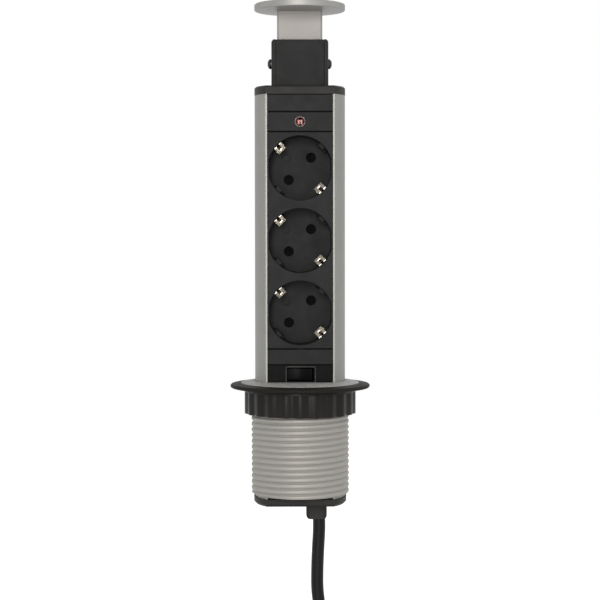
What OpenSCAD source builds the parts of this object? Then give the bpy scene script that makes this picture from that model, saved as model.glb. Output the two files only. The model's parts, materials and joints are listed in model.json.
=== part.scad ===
// Pop-up socket tower for a 60 mm worktop hole, drawn fully raised.
// Origin: centre of the hole, on the worktop's top face. +Z up, the sockets face -Y.

/* [Tower] */
// Radius of the round aluminium profile
tower_r = 27.2; // [26.6:0.1:28]
// Distance from the tower's axis to its flat front
front_y = 17.8; // [17.4:0.1:18.4]
// Wall of the aluminium profile
profile_wall = 1.8; // [1.4:0.1:2]
// Height of the profile's top end over the worktop
tower_top = 176.2; // [174:0.1:190]
// How far the profile's lower end stands below the barrel when raised
tail_drop = 1.5; // [1.4:0.1:4]
// Half width of the slot that takes the front panels
slot_half = 19.55; // [19.3:0.05:19.8]
// Depth of each groove beside the slot
groove_reach = 0.8; // [0.6:0.1:1]
// Thickness of the lip in front of a groove
lip_front = 1; // [0.8:0.1:1.2]
// Width of a groove, front to back
groove_w = 1.4; // [1.2:0.1:1.6]
// Thickness of the lip behind a groove
lip_rear = 0.8; // [0.6:0.1:1]

/* [Front panels] */
// Gap between neighbouring panels
panel_gap = 0.3; // [0.1:0.05:0.5]
// How far a panel lies behind the profile's flat front
panel_recess = 0.2; // [0.1:0.05:0.4]
// Bevel along a panel's top and bottom edges
panel_bevel = 0.4; // [0.2:0.05:0.6]
// Height of the upper blank panel
blank_upper_h = 10.5; // [9:0.5:14]
// Height of the indicator panel
indicator_h = 11.8; // [11:0.1:14]
// Height of the lower blank panel
blank_lower_h = 9.55; // [8:0.05:12]
// Height of the switch panel
switch_panel_h = 22; // [20:0.5:26]
// Depth of the step from the other panels back to the switch panel
switch_step = 1; // [0.8:0.1:1.2]

/* [Sockets] */
// Distance from one socket to the next
socket_pitch = 43.05; // [42.5:0.05:44]
// Radius of a socket's well
well_r = 19.1; // [18.9:0.05:19.2]
// Distance from a well's axis to its flat sides
well_flat = 18.45; // [18.45:0.05:18.6]
// Depth of a well from the panel's front
well_depth = 17.3; // [17:0.1:17.5]
// Wall of a well's cup
well_wall = 1.1; // [1:0.1:1.3]
// Thickness of a well's floor
floor_t = 2.4; // [2:0.1:3]
// Distance between the two pin holes
pin_pitch = 19; // [19:0.1:19]
// Radius of a pin hole
pin_hole_r = 2.75; // [2.6:0.05:3]
// Angle of the pin line from horizontal
pin_angle = 45; // [0:5:60]
// Width of a guide rib in a well
rib_w = 6.8; // [5:0.1:7.5]
// Height of a guide rib over the well's wall
rib_h = 2; // [1.2:0.1:2.2]
// Width of an earth clip
clip_w = 5.6; // [5:0.1:6]
// How far a clip's crest stands in from its arm
clip_bend = 3.2; // [2:0.1:3.6]
// Thickness of the clip's spring strip
clip_t = 0.6; // [0.5:0.05:0.8]
// Depth of the contact base behind a well's floor
base_depth = 17.6; // [17.4:0.1:18]
// Thickness of a shutter
shutter_t = 1.7; // [1.4:0.1:1.9]
// Running clearance of a shutter on its post
pivot_gap = 0.06; // [0.04:0.01:0.1]

/* [Indicator and switch] */
// Radius of the indicator lens's rim
lens_r = 3.2; // [2.8:0.1:3.6]
// Length of the rocker
rocker_l = 15; // [14:0.5:15]
// Height of the rocker
rocker_h = 7.2; // [6.5:0.1:8]
// Gap between the rocker and its opening
rocker_gap = 0.4; // [0.35:0.05:0.5]
// Angle of each half of the rocker's face
rocker_tilt = 8; // [6:0.5:9]
// Wall of the switch's bezel
bezel_wall = 1.2; // [1:0.1:1.5]

/* [Caps and handle] */
// Thickness of the top cap
top_cap_t = 5; // [4:0.5:7]
// Overhang of the top cap round the profile
top_cap_over = 0.1; // [0:0.05:0.1]
// Thickness of the bottom cap
bottom_cap_t = 4.5; // [4:0.5:6]
// Overhang of the bottom cap, which stops the tower at the top of its travel
bottom_cap_over = 0.8; // [0.7:0.1:1]
// Width of the neck block
neck_w = 34; // [32:0.5:36]
// Depth of the neck block, front to back
neck_d = 24; // [20:0.5:28]
// Height of the neck block
neck_h = 27.8; // [24:0.1:34]
// Width of the handle strap
strap_w = 27.2; // [24:0.1:28]
// Thickness of the handle strap
strap_t = 5; // [4:0.5:6]
// Height of the strap between the neck and the disc
strap_h = 17.9; // [14:0.1:24]
// Diameter of the top disc
disc_d = 54.5; // [50:0.5:60]
// Thickness of the top disc
disc_t = 3.9; // [3.5:0.1:6]

/* [Collar] */
// Outer radius of the black flange
flange_r = 42.2; // [40:0.1:46]
// Thickness of the flange
flange_t = 3.4; // [3:0.1:4]
// Half thickness of the flange's rounded rim
rim_r = 1.2; // [1:0.1:1.5]
// Outer radius of the grey bezel ring
ring_r = 35.9; // [34:0.1:38]
// Height of the bezel ring's outer edge over the worktop
ring_edge_z = 3.6; // [3.4:0.1:4.4]
// Height of the bezel ring's inner edge over the worktop
ring_inner_z = 4.8; // [4.4:0.1:6]
// Clearance between the tower and the collar's opening
slide_gap = 0.4; // [0.35:0.05:0.5]
// Radius over the barrel's thread
thread_r = 29.6; // [29.2:0.1:29.9]
// Depth of the barrel's lower end under the worktop
barrel_len = 63.8; // [56:0.1:64]
// Pitch of the barrel's thread, drawn here as rings
thread_pitch = 3.5; // [3:0.25:4]
// Depth of the thread
thread_depth = 1; // [0.8:0.1:1.1]
// Outer radius of the clamp nut over its ribs
nut_r = 33.8; // [33:0.1:36]
// Height of the clamp nut
nut_h = 14.6; // [10:0.1:18]
// Number of grip ribs round the nut
nut_ribs = 22; // [12:1:30]
// Thickness of the washer in the nut's top
washer_t = 1.2; // [1:0.1:2]

/* [Cord] */
// Diameter of the cord
cord_d = 7.6; // [6.8:0.1:8]
// Sideways place of the cord's outlet
cord_x = 11.45; // [9:0.05:12]
// Width of the strain relief
relief_w = 12.5; // [12:0.1:14]
// Height of the strain relief
relief_h = 9.5; // [8:0.1:14]
// Layers of the put-away hank, one lap each
hank_layers = 6; // [2:2:8]
// Diameter of the plug's face
plug_d = 36.8; // [36:0.1:37]
// Length of the plug's body
plug_l = 34; // [30:1:40]
// Length of the flex sleeve on the plug
sleeve_l = 24; // [20:1:40]
// Free length of the plug's pins
plug_pin_l = 19; // [19:0.1:19]
// Diameter of the plug's pins
plug_pin_d = 4.8; // [4.8:0.1:4.8]

/* [Hidden] */
$fn = 64;
eps = 0.01;
fit = 0.05;
seat = 0.1;

// Colours, as the photograph shows them
aluminium = "#8F9089";
panel_black = "#393939";
cap_black = "#2E2E2E";
ring_grey = "#94928E";
barrel_grey = "#A9A7A2";
strap_grey = "#BDB9B5";
contact_metal = "#C9C2A6";

// The profile's section
tower_in = tower_r - profile_wall;
tower_tail = barrel_len + tail_drop;
slot_back = front_y - lip_front - groove_w - lip_rear;
groove_half = slot_half + groove_reach;
port_r = 2.6;
port_bore = 1.45;
ports = [[22.7, -4], [-22.7, -4], [17.5, 16.2], [-17.5, 16.2]];

// Heights of the panel joints, from the top down
z_blank = tower_top - blank_upper_h;
z_indicator = z_blank - indicator_h;
socket_count = 3;
z_sockets = z_indicator - socket_count * socket_pitch;
z_lower = z_sockets - blank_lower_h;
z_switch = z_lower - switch_panel_h;
socket_z = [for (i = [0 : socket_count - 1]) z_indicator - (i + 0.5) * socket_pitch];

// Depths of the socket's layers, as distances behind the tower's axis
panel_face = -(front_y - panel_recess);
floor_y = panel_face + well_depth;
floor_back = floor_y + floor_t;
shutter_y = floor_back + 0.3;
pocket_y = shutter_y + shutter_t + 0.3;
base_back = floor_back + base_depth;
cover_t = 1;
pin_r = pin_pitch / 2;
bus_x = pin_r * cos(pin_angle);
clip_reach = well_flat - 0.05;
base_half = 14.2;
base_low = z_sockets + 2;
base_high = z_indicator - 2;
bus_foot = base_low - 9.4;
earth_foot = base_low - 14;
cavity_r = 3.7;
sleeve_r = 3.3;
sleeve_bore = 2.45;
strip_t = 0.8;
strip_y = base_back - strip_t - 0.4;
cavity_y = pocket_y + clip_t + strip_t + 0.6;
shutter_lobe = pin_hole_r + 0.7;
shutter_reach = pin_r + shutter_lobe;
post_r = 2;
spring_slot_r = 4;
spring_slot_in = 2.8;
spring_slot_depth = 0.9;

// Indicator
indicator_z = (z_blank + z_indicator) / 2;
lens_bore = 2.1;
bulb_r = 1.9;

// Switch, in a panel that lies one step behind the others
switch_face = panel_face + switch_step;
switch_top = z_lower - 1.7;
opening_h = rocker_h + 2 * rocker_gap;
opening_half = rocker_l / 2 + 0.7;
switch_z = switch_top - opening_h / 2;
bezel_half = opening_half + bezel_wall;
bezel_h = opening_h + 2 * bezel_wall;
bezel_y = switch_face - 0.5;
pivot_y = switch_face + 3.1;
pivot_pin_r = 1.2;
housing_back = -2;
blades = [-6, 0, 6];
blade_w = 4.8;
blade_t = 0.8;
blade_root = 3;
blade_reach = 8;
blade_end = housing_back + blade_reach;

// Top
cap_top = tower_top + top_cap_t;
cap_r = tower_r + top_cap_over;
neck_top = cap_top + neck_h;
disc_z = neck_top + strap_h;
neck_groove = 0.6;
plate_half = neck_w / 2 - 2.7;
screw_z = cap_top + 14;
head_r = 3;

// Collar
hole_r = tower_r + slide_gap;
hole_y = front_y + slide_gap;
brake_gap = 0.15;
ring_seat_z = ring_edge_z - 1.4;
barrel_top = 0.6;
rim_z = 1.5;
washer_top = -0.3;
washer_r = nut_r - 2.2;
nut_top = washer_top - 0.3;
nut_seat = washer_t - 0.2;
nut_bore = thread_r + 0.3;
nut_core_r = nut_r - 1;
rib_r = 2.4;

// Bottom
bottom_r = tower_r + bottom_cap_over;
bottom_z = -tower_tail - bottom_cap_t;
relief_z = bottom_z - relief_h;
tail_top = -tower_tail + 16;

// Cord below the strain relief: the free stretch, a hank of laps and the lead to the plug
cord_r = cord_d / 2;
bend_r = 4 * cord_d;
hank_in = 3 * cord_d;
hank_out = hank_in + cord_d + 1.6;
layer_step = cord_d + 0.6;
layer_half = layer_step * (hank_layers - 1) / 2;
hank_draw = 4;
hank_waist = 17;
run_half = 29;
free_drop = 57;
cord_end_z = relief_z - free_drop;
lead_stub = 1;
lead_gap = 10;
lead_side = [hank_out - cord_x, -layer_half];
lead_drop = sqrt(4 * bend_r * norm(lead_side) - pow(norm(lead_side), 2));
hank_centre = [0, 0, cord_end_z - lead_stub - lead_drop - lead_gap - run_half];
lap_rings = 32;
hank_sides = 6;
cord_sides = 10;
lead_start_z = 2 * hank_centre[2] - cord_end_z;
lead_end_z = lead_start_z - 8;
plug_z = lead_end_z - sleeve_l;

// The free stretch bows a little to the side, as photographed
cord_points = [for (p = [[0, 0], [0, 7], [-0.6, 19], [-1.1, 32], [-1, 44], [-0.1, 53], [0, free_drop - 1],
    [0, free_drop]])
    [cord_x + p[0], 0, relief_z - p[1]]];

function lerp(a, b, t) = a + (b - a) * t;
function unit(v) = v / norm(v);
function ease(t) = t <= 0 ? 0 : t >= 1 ? 1 : t * t * (3 - 2 * t);

// One round with straight sides, from the right side down and clockwise
function lap(turn, half) =
    let (quarter = (turn - floor(turn)) * 4,
         side = floor(quarter),
         part = quarter - side,
         along = side % 2 == 0 ? part : 1 - part,
         bend = max(0, along - 0.5) * 180,
         across = along < 0.5 ? half : half * cos(bend),
         rise = along < 0.5 ? run_half * along / 0.5 : run_half + half * sin(bend))
    [(side == 0 || side == 3) ? across : -across, (side < 2) ? -rise : rise];

// How far the tie draws a run towards the hank's middle
function drawn(rise) = hank_draw * exp(-pow(rise / hank_waist, 2));

// The hank's centre line: one lap a layer, inwards and outwards in turn, front to rear
function hank_point(t) =
    let (flat = lap(t, hank_out - (hank_out - hank_in) * (1 - abs(t % 2 - 1))),
         passed = round(t) - 1 + ease((t - round(t)) * 2 + 0.5),
         layer = layer_step * min(max(passed, 0), hank_layers - 1) - layer_half)
    hank_centre + [flat[0] - sign(flat[0]) * min(drawn(flat[1]), abs(flat[0])), layer, flat[1]];

// Sideways part of an S of two arcs at a fraction of its drop
function bow(u) = bend_r - sqrt(pow(bend_r, 2) - pow(lead_drop * u, 2));
function s_bend(u) = u < 0.5 ? bow(u) / norm(lead_side) : 1 - bow(1 - u) / norm(lead_side);

hank_lead_in = concat(
    [[cord_x, 0, cord_end_z]],
    [for (u = [0 : 0.125 : 1])
        [cord_x + lead_side[0] * s_bend(u), lead_side[1] * s_bend(u),
         cord_end_z - lead_stub - lead_drop * u]],
    [for (part = [1, 0.75, 0.5, 0.25])
        [hank_centre[0] + hank_out - drawn(run_half * part), -layer_half,
         hank_centre[2] + run_half * part]]);
hank_lead_out = [for (i = [len(hank_lead_in) - 1 : -1 : 0])
    [hank_lead_in[i][0], -hank_lead_in[i][1], 2 * hank_centre[2] - hank_lead_in[i][2]]];
hank_path = concat(hank_lead_in,
                   [for (i = [0 : hank_layers * lap_rings]) hank_point(i / lap_rings)],
                   hank_lead_out);

// A tube swept along points, each ring square to the path there
module tube(points, radius, sides) {
    last = len(points) - 1;
    rings = [for (i = [0 : last])
        let (run = unit(points[min(i + 1, last)] - points[max(i - 1, 0)]),
             across = unit(cross(run, [0, 1, 0])),
             out = cross(across, run))
        for (k = [0 : sides - 1])
            points[i] + radius * (cos(360 * k / sides) * across + sin(360 * k / sides) * out)];
    walls = [for (i = [0 : last - 1], k = [0 : sides - 1])
        let (a = i * sides + k, b = i * sides + (k + 1) % sides)
        each [[a, b, b + sides], [a, b + sides, a + sides]]];
    first_face = [for (k = [1 : sides - 2]) [0, k + 1, k]];
    last_face = [for (k = [1 : sides - 2]) [last * sides, last * sides + k, last * sides + k + 1]];
    polyhedron(rings, concat(first_face, walls, last_face));
}

function path_length(points) = len(points) < 2 ? 0 :
    norm(points[len(points) - 1] - points[len(points) - 2])
    + path_length([for (i = [0 : len(points) - 2]) points[i]]);

// Round section with a flat front
module d_section(radius, flat) {
    difference() {
        circle(radius, $fn = 128);
        translate([-radius - 1, -radius - flat]) square([2 * radius + 2, radius]);
    }
}

module rounded_rect(w, h, r) {
    square([w - 2 * r, h], center = true);
    square([w, h - 2 * r], center = true);
    for (sx = [-1, 1], sy = [-1, 1])
        translate([sx * (w / 2 - r), sy * (h / 2 - r)]) circle(r, $fn = 32);
}

// Turns a child drawn along +Z so that it runs along +Y
module along_y(y, z) {
    translate([0, y, z]) rotate([-90, 0, 0]) children();
}

// Children placed at a screw port
module at_ports() {
    for (p = ports) translate([p[0], p[1], 0]) children();
}

module flange_ring() {
    color(cap_black)
    rotate_extrude($fn = 128)
    difference() {
        union() {
            polygon([[thread_r + fit, 0], [flange_r - 3.5, 0], [flange_r - rim_r, rim_z - rim_r],
                     [flange_r - rim_r, rim_z + rim_r], [ring_r + 0.6, flange_t],
                     [thread_r + fit, flange_t]]);
            translate([flange_r - rim_r, rim_z]) circle(rim_r, $fn = 48);
        }
        translate([thread_r - 1, ring_seat_z]) square([ring_r + fit - thread_r + 1, flange_t]);
    }
}

module bezel_ring() {
    color(ring_grey)
    difference() {
        rotate_extrude($fn = 128)
            polygon([[0, ring_seat_z], [ring_r, ring_seat_z], [ring_r, ring_edge_z - 0.4],
                     [ring_r - 0.4, ring_edge_z], [hole_r + 0.4, ring_inner_z],
                     [0, ring_inner_z]]);
        translate([0, 0, ring_seat_z - 1])
            linear_extrude(ring_inner_z - ring_seat_z + 2) d_section(hole_r, hole_y);
        for (s = [-1, 1])
            translate([s * (hole_r + 0.2), 1.5, ring_inner_z - 0.7]) cylinder(h = 2, r = 0.8);
    }
}

module friction_ring() {
    color("#1B1B1B")
    translate([0, 0, barrel_top])
    linear_extrude(ring_seat_z - barrel_top)
    difference() {
        circle(thread_r - 0.1, $fn = 128);
        d_section(tower_r + brake_gap, front_y + brake_gap);
    }
}

// The thread is drawn as rings of its section
module threaded_barrel() {
    root_r = thread_r - thread_depth;
    turns = floor((barrel_len - 3) / thread_pitch);
    thread = [for (i = [0 : turns - 1],
                   p = [[root_r, 0], [root_r, 0.25], [thread_r, 0.5], [thread_r, 0.75]])
        [p[0], (i + p[1]) * thread_pitch + 1 - barrel_len]];
    color(barrel_grey)
    rotate_extrude($fn = 128)
    polygon(concat([[hole_r, -barrel_len], [root_r, -barrel_len]], thread,
                   [[thread_r, barrel_top], [hole_r, barrel_top]]));
}

module thrust_washer() {
    color("#222222")
    translate([0, 0, washer_top - washer_t])
    difference() {
        cylinder(h = washer_t, r = washer_r, $fn = 128);
        translate([0, 0, -1]) cylinder(h = washer_t + 2, r = nut_bore, $fn = 128);
    }
}

module clamp_nut() {
    color("#303030")
    translate([0, 0, nut_top - nut_h])
    difference() {
        union() {
            cylinder(h = nut_h, r = nut_core_r, $fn = 128);
            for (i = [0 : nut_ribs - 1])
                rotate((i + 0.5) * 360 / nut_ribs)
                translate([nut_r - rib_r, 0, 0.4]) cylinder(h = nut_h - 0.8, r = rib_r, $fn = 24);
        }
        translate([0, 0, nut_h - nut_seat]) cylinder(h = nut_h, r = washer_r + 0.35, $fn = 128);
        translate([0, 0, -1]) cylinder(h = nut_h + 2, r = nut_bore, $fn = 128);
    }
}

module profile_section() {
    difference() {
        d_section(tower_r, front_y);
        d_section(tower_in, slot_back);
        translate([-slot_half, -tower_r]) square([2 * slot_half, tower_r]);
        translate([-groove_half, -front_y + lip_front]) square([2 * groove_half, groove_w]);
    }
    intersection() {
        difference() {
            for (p = ports) translate(p) circle(port_r, $fn = 32);
            for (p = ports) translate(p) circle(port_bore, $fn = 32);
        }
        circle(tower_r - 0.2, $fn = 128);
    }
}

module tower_profile() {
    color(aluminium)
    translate([0, 0, -tower_tail])
    linear_extrude(tower_top + tower_tail) profile_section();
}

module top_cap() {
    spigot = 4;
    color(cap_black)
    difference() {
        union() {
            translate([0, 0, tower_top]) cap_plate(cap_r, front_y + top_cap_over, top_cap_t, 0.8);
            translate([0, 0, tower_top - spigot])
                linear_extrude(spigot + eps)
                difference() {
                    d_section(tower_in - seat, slot_back - seat - 0.2);
                    d_section(tower_in - seat - 2, slot_back - seat - 2.2);
                    for (p = ports) translate(p) circle(port_r + seat);
                }
        }
        at_ports() {
            translate([0, 0, tower_top - 1]) cylinder(h = top_cap_t + 2, r = 1.7);
            translate([0, 0, cap_top - 1.6]) cylinder(h = 2, r = 2.9);
        }
    }
}

// A D-shaped plate whose far edge is stepped in by a bevel
module cap_plate(radius, flat, thick, bevel) {
    linear_extrude(thick - bevel) d_section(radius, flat);
    translate([0, 0, thick - bevel - eps])
    intersection() {
        cylinder(h = bevel + eps, r1 = radius, r2 = radius - bevel, $fn = 128);
        translate([-radius, -flat, 0]) rotate([90, 0, 90])
            linear_extrude(2 * radius)
            polygon([[0, 0], [2 * radius, 0], [2 * radius, bevel + eps], [bevel, bevel + eps]]);
    }
}

module bottom_cap() {
    spigot = 6;
    color(cap_black)
    difference() {
        union() {
            translate([0, 0, -tower_tail]) mirror([0, 0, 1])
                cap_plate(bottom_r, front_y + 1.1, bottom_cap_t, 1.4);
            translate([0, 0, -tower_tail - eps])
                linear_extrude(spigot)
                difference() {
                    d_section(tower_in - seat, slot_back - seat - 0.2);
                    d_section(tower_in - seat - 2, slot_back - seat - 2.2);
                    for (p = ports) translate(p) circle(port_r + seat);
                }
            translate([cord_x, 0, -tower_tail - eps]) clamp_seat();
        }
        at_ports() {
            translate([0, 0, bottom_z - 1]) cylinder(h = bottom_cap_t + 2, r = 1.7);
            translate([0, 0, bottom_z - 1]) cylinder(h = 2.6, r = 2.9);
        }
        translate([cord_x, 0, bottom_z - 1])
            cylinder(h = bottom_cap_t + clamp_seat_h + 2, r = cord_r + fit);
        for (s = [-1, 1])
            translate([cord_x, s * clamp_half, -tower_tail]) cylinder(h = 9, r = 1.1);
    }
}

clamp_half = 7;
clamp_seat_h = 7;
clamp_t = 4;

// The cradle that the cord clamp is screwed to
module clamp_seat() {
    translate([-5, -clamp_half - 2.6, 0]) cube([10, 2 * clamp_half + 5.2, clamp_seat_h]);
}

module cap_screws() {
    color("#77777A") {
        at_ports() {
            translate([0, 0, cap_top - 1.6]) cylinder(h = 1.4, r = 2.7);
            translate([0, 0, cap_top - 1.6 - 10]) cylinder(h = 10 + eps, r = port_bore - fit);
            translate([0, 0, bottom_z + 0.2]) cylinder(h = 1.4, r = 2.7);
            translate([0, 0, bottom_z + 1.6 - eps]) cylinder(h = 10, r = port_bore - fit);
        }
    }
}

module neck_block() {
    strap_slot = 15;
    color(cap_black)
    difference() {
        intersection() {
            translate([0, 0, cap_top]) linear_extrude(neck_h) rounded_rect(neck_w, neck_d, 2);
            translate([0, neck_d, cap_top + neck_h / 2 - 1]) rotate([90, 0, 0])
                linear_extrude(2 * neck_d) rounded_rect(neck_w, neck_h + 2, 2.2);
        }
        translate([-plate_half - neck_groove, -neck_d / 2 - 1, cap_top - 1])
            cube([2 * (plate_half + neck_groove), 3.2, neck_h + 2]);
        translate([-strap_w / 2 - seat, -strap_t / 2 - seat, neck_top - strap_slot])
            cube([strap_w + 2 * seat, strap_t + 2 * seat, strap_slot + 1]);
        translate([-neck_w, 0, screw_z]) rotate([0, 90, 0]) cylinder(h = 2 * neck_w, r = 1.6);
    }
}

module neck_plate() {
    color("#383838")
    translate([0, -neck_d / 2 + 1.1, cap_top + 0.2])
    intersection() {
        translate([-plate_half, -1, 0]) cube([2 * plate_half, 2, neck_h - 0.4]);
        translate([0, 2, neck_h / 2 - 1]) rotate([90, 0, 0])
            linear_extrude(4) rounded_rect(2 * plate_half, neck_h + 1.6, 1.2);
    }
}

module handle_strap() {
    foot = 14.6;
    color(strap_grey)
    difference() {
        translate([0, 0, neck_top - foot])
            linear_extrude(foot + strap_h) rounded_rect(strap_w, strap_t, 1.4);
        for (s = [-1, 1])
            translate([s * strap_w / 2, 0, screw_z]) rotate([0, 90, 0])
            cylinder(h = 14, r = 1.3, center = true);
    }
}

module strap_screws() {
    protrusion = 2.4;
    color("#3A3A3C")
    for (s = [0, 1])
        mirror([s, 0, 0])
        translate([neck_w / 2, 0, screw_z]) rotate([0, 90, 0]) {
            translate([0, 0, -9.5]) cylinder(h = 9.5 + eps, r = 1.25);
            difference() {
                union() {
                    cylinder(h = protrusion - 1, r = head_r);
                    translate([0, 0, protrusion - 1 - eps])
                        cylinder(h = 1, r1 = head_r, r2 = head_r - 1.2);
                }
                translate([0, 0, protrusion - 1]) cylinder(h = 2, r = 1.2, $fn = 6);
            }
        }
}

module lid_disc() {
    edge = 0.5;
    half = disc_d / 2;
    color("#8C8A88")
    translate([0, 0, disc_z])
    rotate_extrude($fn = 128)
    polygon([[0, 0], [half - edge, 0], [half, edge], [half, disc_t - edge],
             [half - edge, disc_t], [0, disc_t]]);
}

// A front panel between two heights, with tongues in the profile's grooves
module panel_blank(low, high, face = panel_face) {
    bottom = low + panel_gap / 2;
    height = high - low - panel_gap;
    back = -slot_back;
    tongue_y = max(face, -front_y + lip_front + seat);
    tongue_back = -front_y + lip_front + groove_w - seat;
    translate([0, 0, bottom]) {
        translate([-slot_half + fit, 0, 0]) rotate([90, 0, 90])
            linear_extrude(2 * (slot_half - fit))
            polygon([[back, 0], [back, height], [face + panel_bevel, height],
                     [face, height - panel_bevel], [face, panel_bevel], [face + panel_bevel, 0]]);
        translate([-groove_half + fit, tongue_y, 0])
            cube([2 * (groove_half - fit), tongue_back - tongue_y, height]);
    }
}

module blank_panel_upper() {
    color(panel_black) panel_blank(z_blank, tower_top);
}

module blank_panel_lower() {
    color(panel_black) panel_blank(z_lower, z_sockets);
}

module lower_front_panel() {
    color(panel_black) panel_blank(-tower_tail, z_switch);
}

module indicator_panel() {
    color(panel_black)
    difference() {
        panel_blank(z_indicator, z_blank);
        along_y(panel_face - 1, indicator_z) cylinder(h = 10, r = lens_bore + 0.5);
        along_y(panel_face - 1, indicator_z) cylinder(h = 1.6, r = lens_r + fit);
    }
}

module at_sockets() {
    for (z = socket_z) translate([0, 0, z]) children();
}

// Children at both ends of a line through a socket's axis, turned to point outwards
module at_ends(angle, reach) {
    for (a = [angle, angle + 180])
        rotate([0, -a, 0]) translate([reach, 0, 0]) children();
}

// A round well shape with flat sides, from the depth y backwards
module well_shape(y, depth, radius, flat) {
    intersection() {
        along_y(y, 0) cylinder(h = depth, r = radius, $fn = 96);
        translate([-flat, y - 1, -radius - 1]) cube([2 * flat, depth + 2, 2 * radius + 2]);
    }
}

module well_cup() {
    well_shape(-slot_back, floor_back + slot_back, well_r + well_wall, well_flat + well_wall);
}

module well_cut() {
    well_shape(panel_face - 1, well_depth + 1, well_r, well_flat);
    intersection() {
        along_y(panel_face - eps, 0) cylinder(h = 0.5, r1 = well_r + 0.3, r2 = well_r, $fn = 96);
        well_shape(panel_face - 1, 2, well_r + 1, well_flat + 0.2);
    }
    at_ends(pin_angle, pin_r)
        along_y(floor_y - 1, 0) cylinder(h = floor_t + 2, r = pin_hole_r);
    at_ends(pin_angle, pin_r)
        along_y(floor_y - eps, 0) cylinder(h = 0.4, r1 = pin_hole_r + 0.35, r2 = pin_hole_r);
    at_ends(pin_angle + 90, clip_reach - 2.6)
        translate([0, floor_y - 15.4, -clip_w / 2 - 0.3])
        cube([6, floor_back - floor_y + 16, clip_w + 0.6]);
    translate([-8.1, 0, 6.3]) along_y(floor_y - 1, 0) cylinder(h = 2.2, r = 2.4);
}

// Guide ribs of a well and the post that its shutter turns on
module well_furniture() {
    at_ends(pin_angle, well_r - rib_h)
        difference() {
            translate([0, panel_face + 3.4, -rib_w / 2]) cube([rib_h + 0.6, well_depth - 3.2, rib_w]);
            for (s = [-1, 1])
                translate([rib_h / 2, panel_face + 3, s * (rib_w / 2 - 0.9)]) rotate([-90, 0, 0])
                cylinder(h = 4, r = 0.8);
        }
    along_y(floor_back - 0.5, 0) cylinder(h = pocket_y - floor_back + 0.4, r = post_r);
}

module socket_insert() {
    color(panel_black) {
        difference() {
            union() {
                panel_blank(z_sockets, z_indicator);
                at_sockets() well_cup();
            }
            at_sockets() well_cut();
        }
        at_sockets() well_furniture();
    }
}

// The contact carrier behind the wells
module socket_base() {
    color("#1F1F1F")
    difference() {
        translate([0, 0, base_low]) linear_extrude(base_high - base_low)
            polygon([[-base_half, floor_back], [base_half, floor_back],
                     [base_half, base_back - 2.4], [base_half - 2.4, base_back],
                     [-base_half + 2.4, base_back], [-base_half, base_back - 2.4]]);
        at_sockets() {
            along_y(floor_back - 1, 0) cylinder(h = pocket_y - floor_back + 1, r = shutter_reach + 0.5);
            at_ends(pin_angle, pin_r)
                along_y(pocket_y - 1, 0) cylinder(h = base_back, r = cavity_r);
            rotate([0, -pin_angle - 90, 0])
                translate([-22, floor_back - 1, -clip_w / 2 - 0.3])
                cube([44, pocket_y + clip_t + 0.1 - floor_back + 1, clip_w + 0.6]);
        }
        translate([-2.2, pocket_y - 1, base_low - 1])
            cube([4.4, clip_t + strip_t + 1.3, base_high - base_low + 2]);
        for (s = [-1, 1])
            translate([s * bus_x - 2.6, strip_y - 0.1, base_low - 1])
            cube([5.2, 4, base_high - base_low + 2]);
    }
}

module base_cover() {
    color("#1F1F1F")
    translate([-base_half + 2.4, base_back, base_low])
    cube([2 * (base_half - 2.4), cover_t, base_high - base_low]);
}

// Three spring sleeves on one strip
module busbar(side) {
    x = side * bus_x;
    dz = side * pin_r * sin(pin_angle);
    sleeve_len = strip_y - cavity_y;
    for (z = socket_z)
        translate([x, 0, z + dz])
        difference() {
            along_y(cavity_y, 0) cylinder(h = sleeve_len + eps, r = sleeve_r, $fn = 48);
            along_y(cavity_y - 1, 0) cylinder(h = sleeve_len + 1, r = sleeve_bore, $fn = 48);
            translate([-0.5, cavity_y - 1, -5]) cube([1, sleeve_len - 1, 10]);
        }
    translate([x - 2.4, strip_y, bus_foot]) cube([4.8, strip_t, socket_z[0] + dz + 3 - bus_foot]);
}

module line_busbar() {
    color(contact_metal) busbar(1);
}

module neutral_busbar() {
    color(contact_metal) busbar(-1);
}

// One stamped bracket a socket: a cross strip with a forked spring arm at each end
module earth_bracket() {
    arm = clip_reach - clip_t;
    crest = arm - clip_bend;
    tip_y = floor_y - 14.6;
    crest_y = floor_y - 9.5;
    rotate([0, -pin_angle - 90, 0]) {
        translate([-arm, pocket_y + 0.05, -clip_w / 2]) cube([2 * arm, clip_t, clip_w]);
        for (s = [0, 1])
            mirror([s, 0, 0])
            difference() {
                translate([0, 0, -clip_w / 2])
                    linear_extrude(clip_w)
                    polygon([[arm, pocket_y + 0.05 + clip_t], [arm, floor_y - 5],
                             [crest, crest_y + 0.6], [crest, crest_y - 0.6],
                             [arm + 0.7, tip_y], [arm + 0.7 + clip_t, tip_y],
                             [crest + clip_t, crest_y - 0.6],
                             [crest + clip_t, crest_y + 0.6],
                             [arm + clip_t, floor_y - 5],
                             [arm + clip_t, pocket_y + 0.05 + clip_t]]);
                translate([arm - clip_bend, tip_y - 1, -1]) cube([8, crest_y - tip_y - 0.8, 2]);
            }
    }
}

module earth_clips() {
    color(contact_metal) at_sockets() earth_bracket();
}

module earth_bar() {
    color(contact_metal)
    translate([-2, pocket_y + 0.05 + clip_t, earth_foot])
    cube([4, strip_t, socket_z[0] + 4 - earth_foot]);
}

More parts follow.
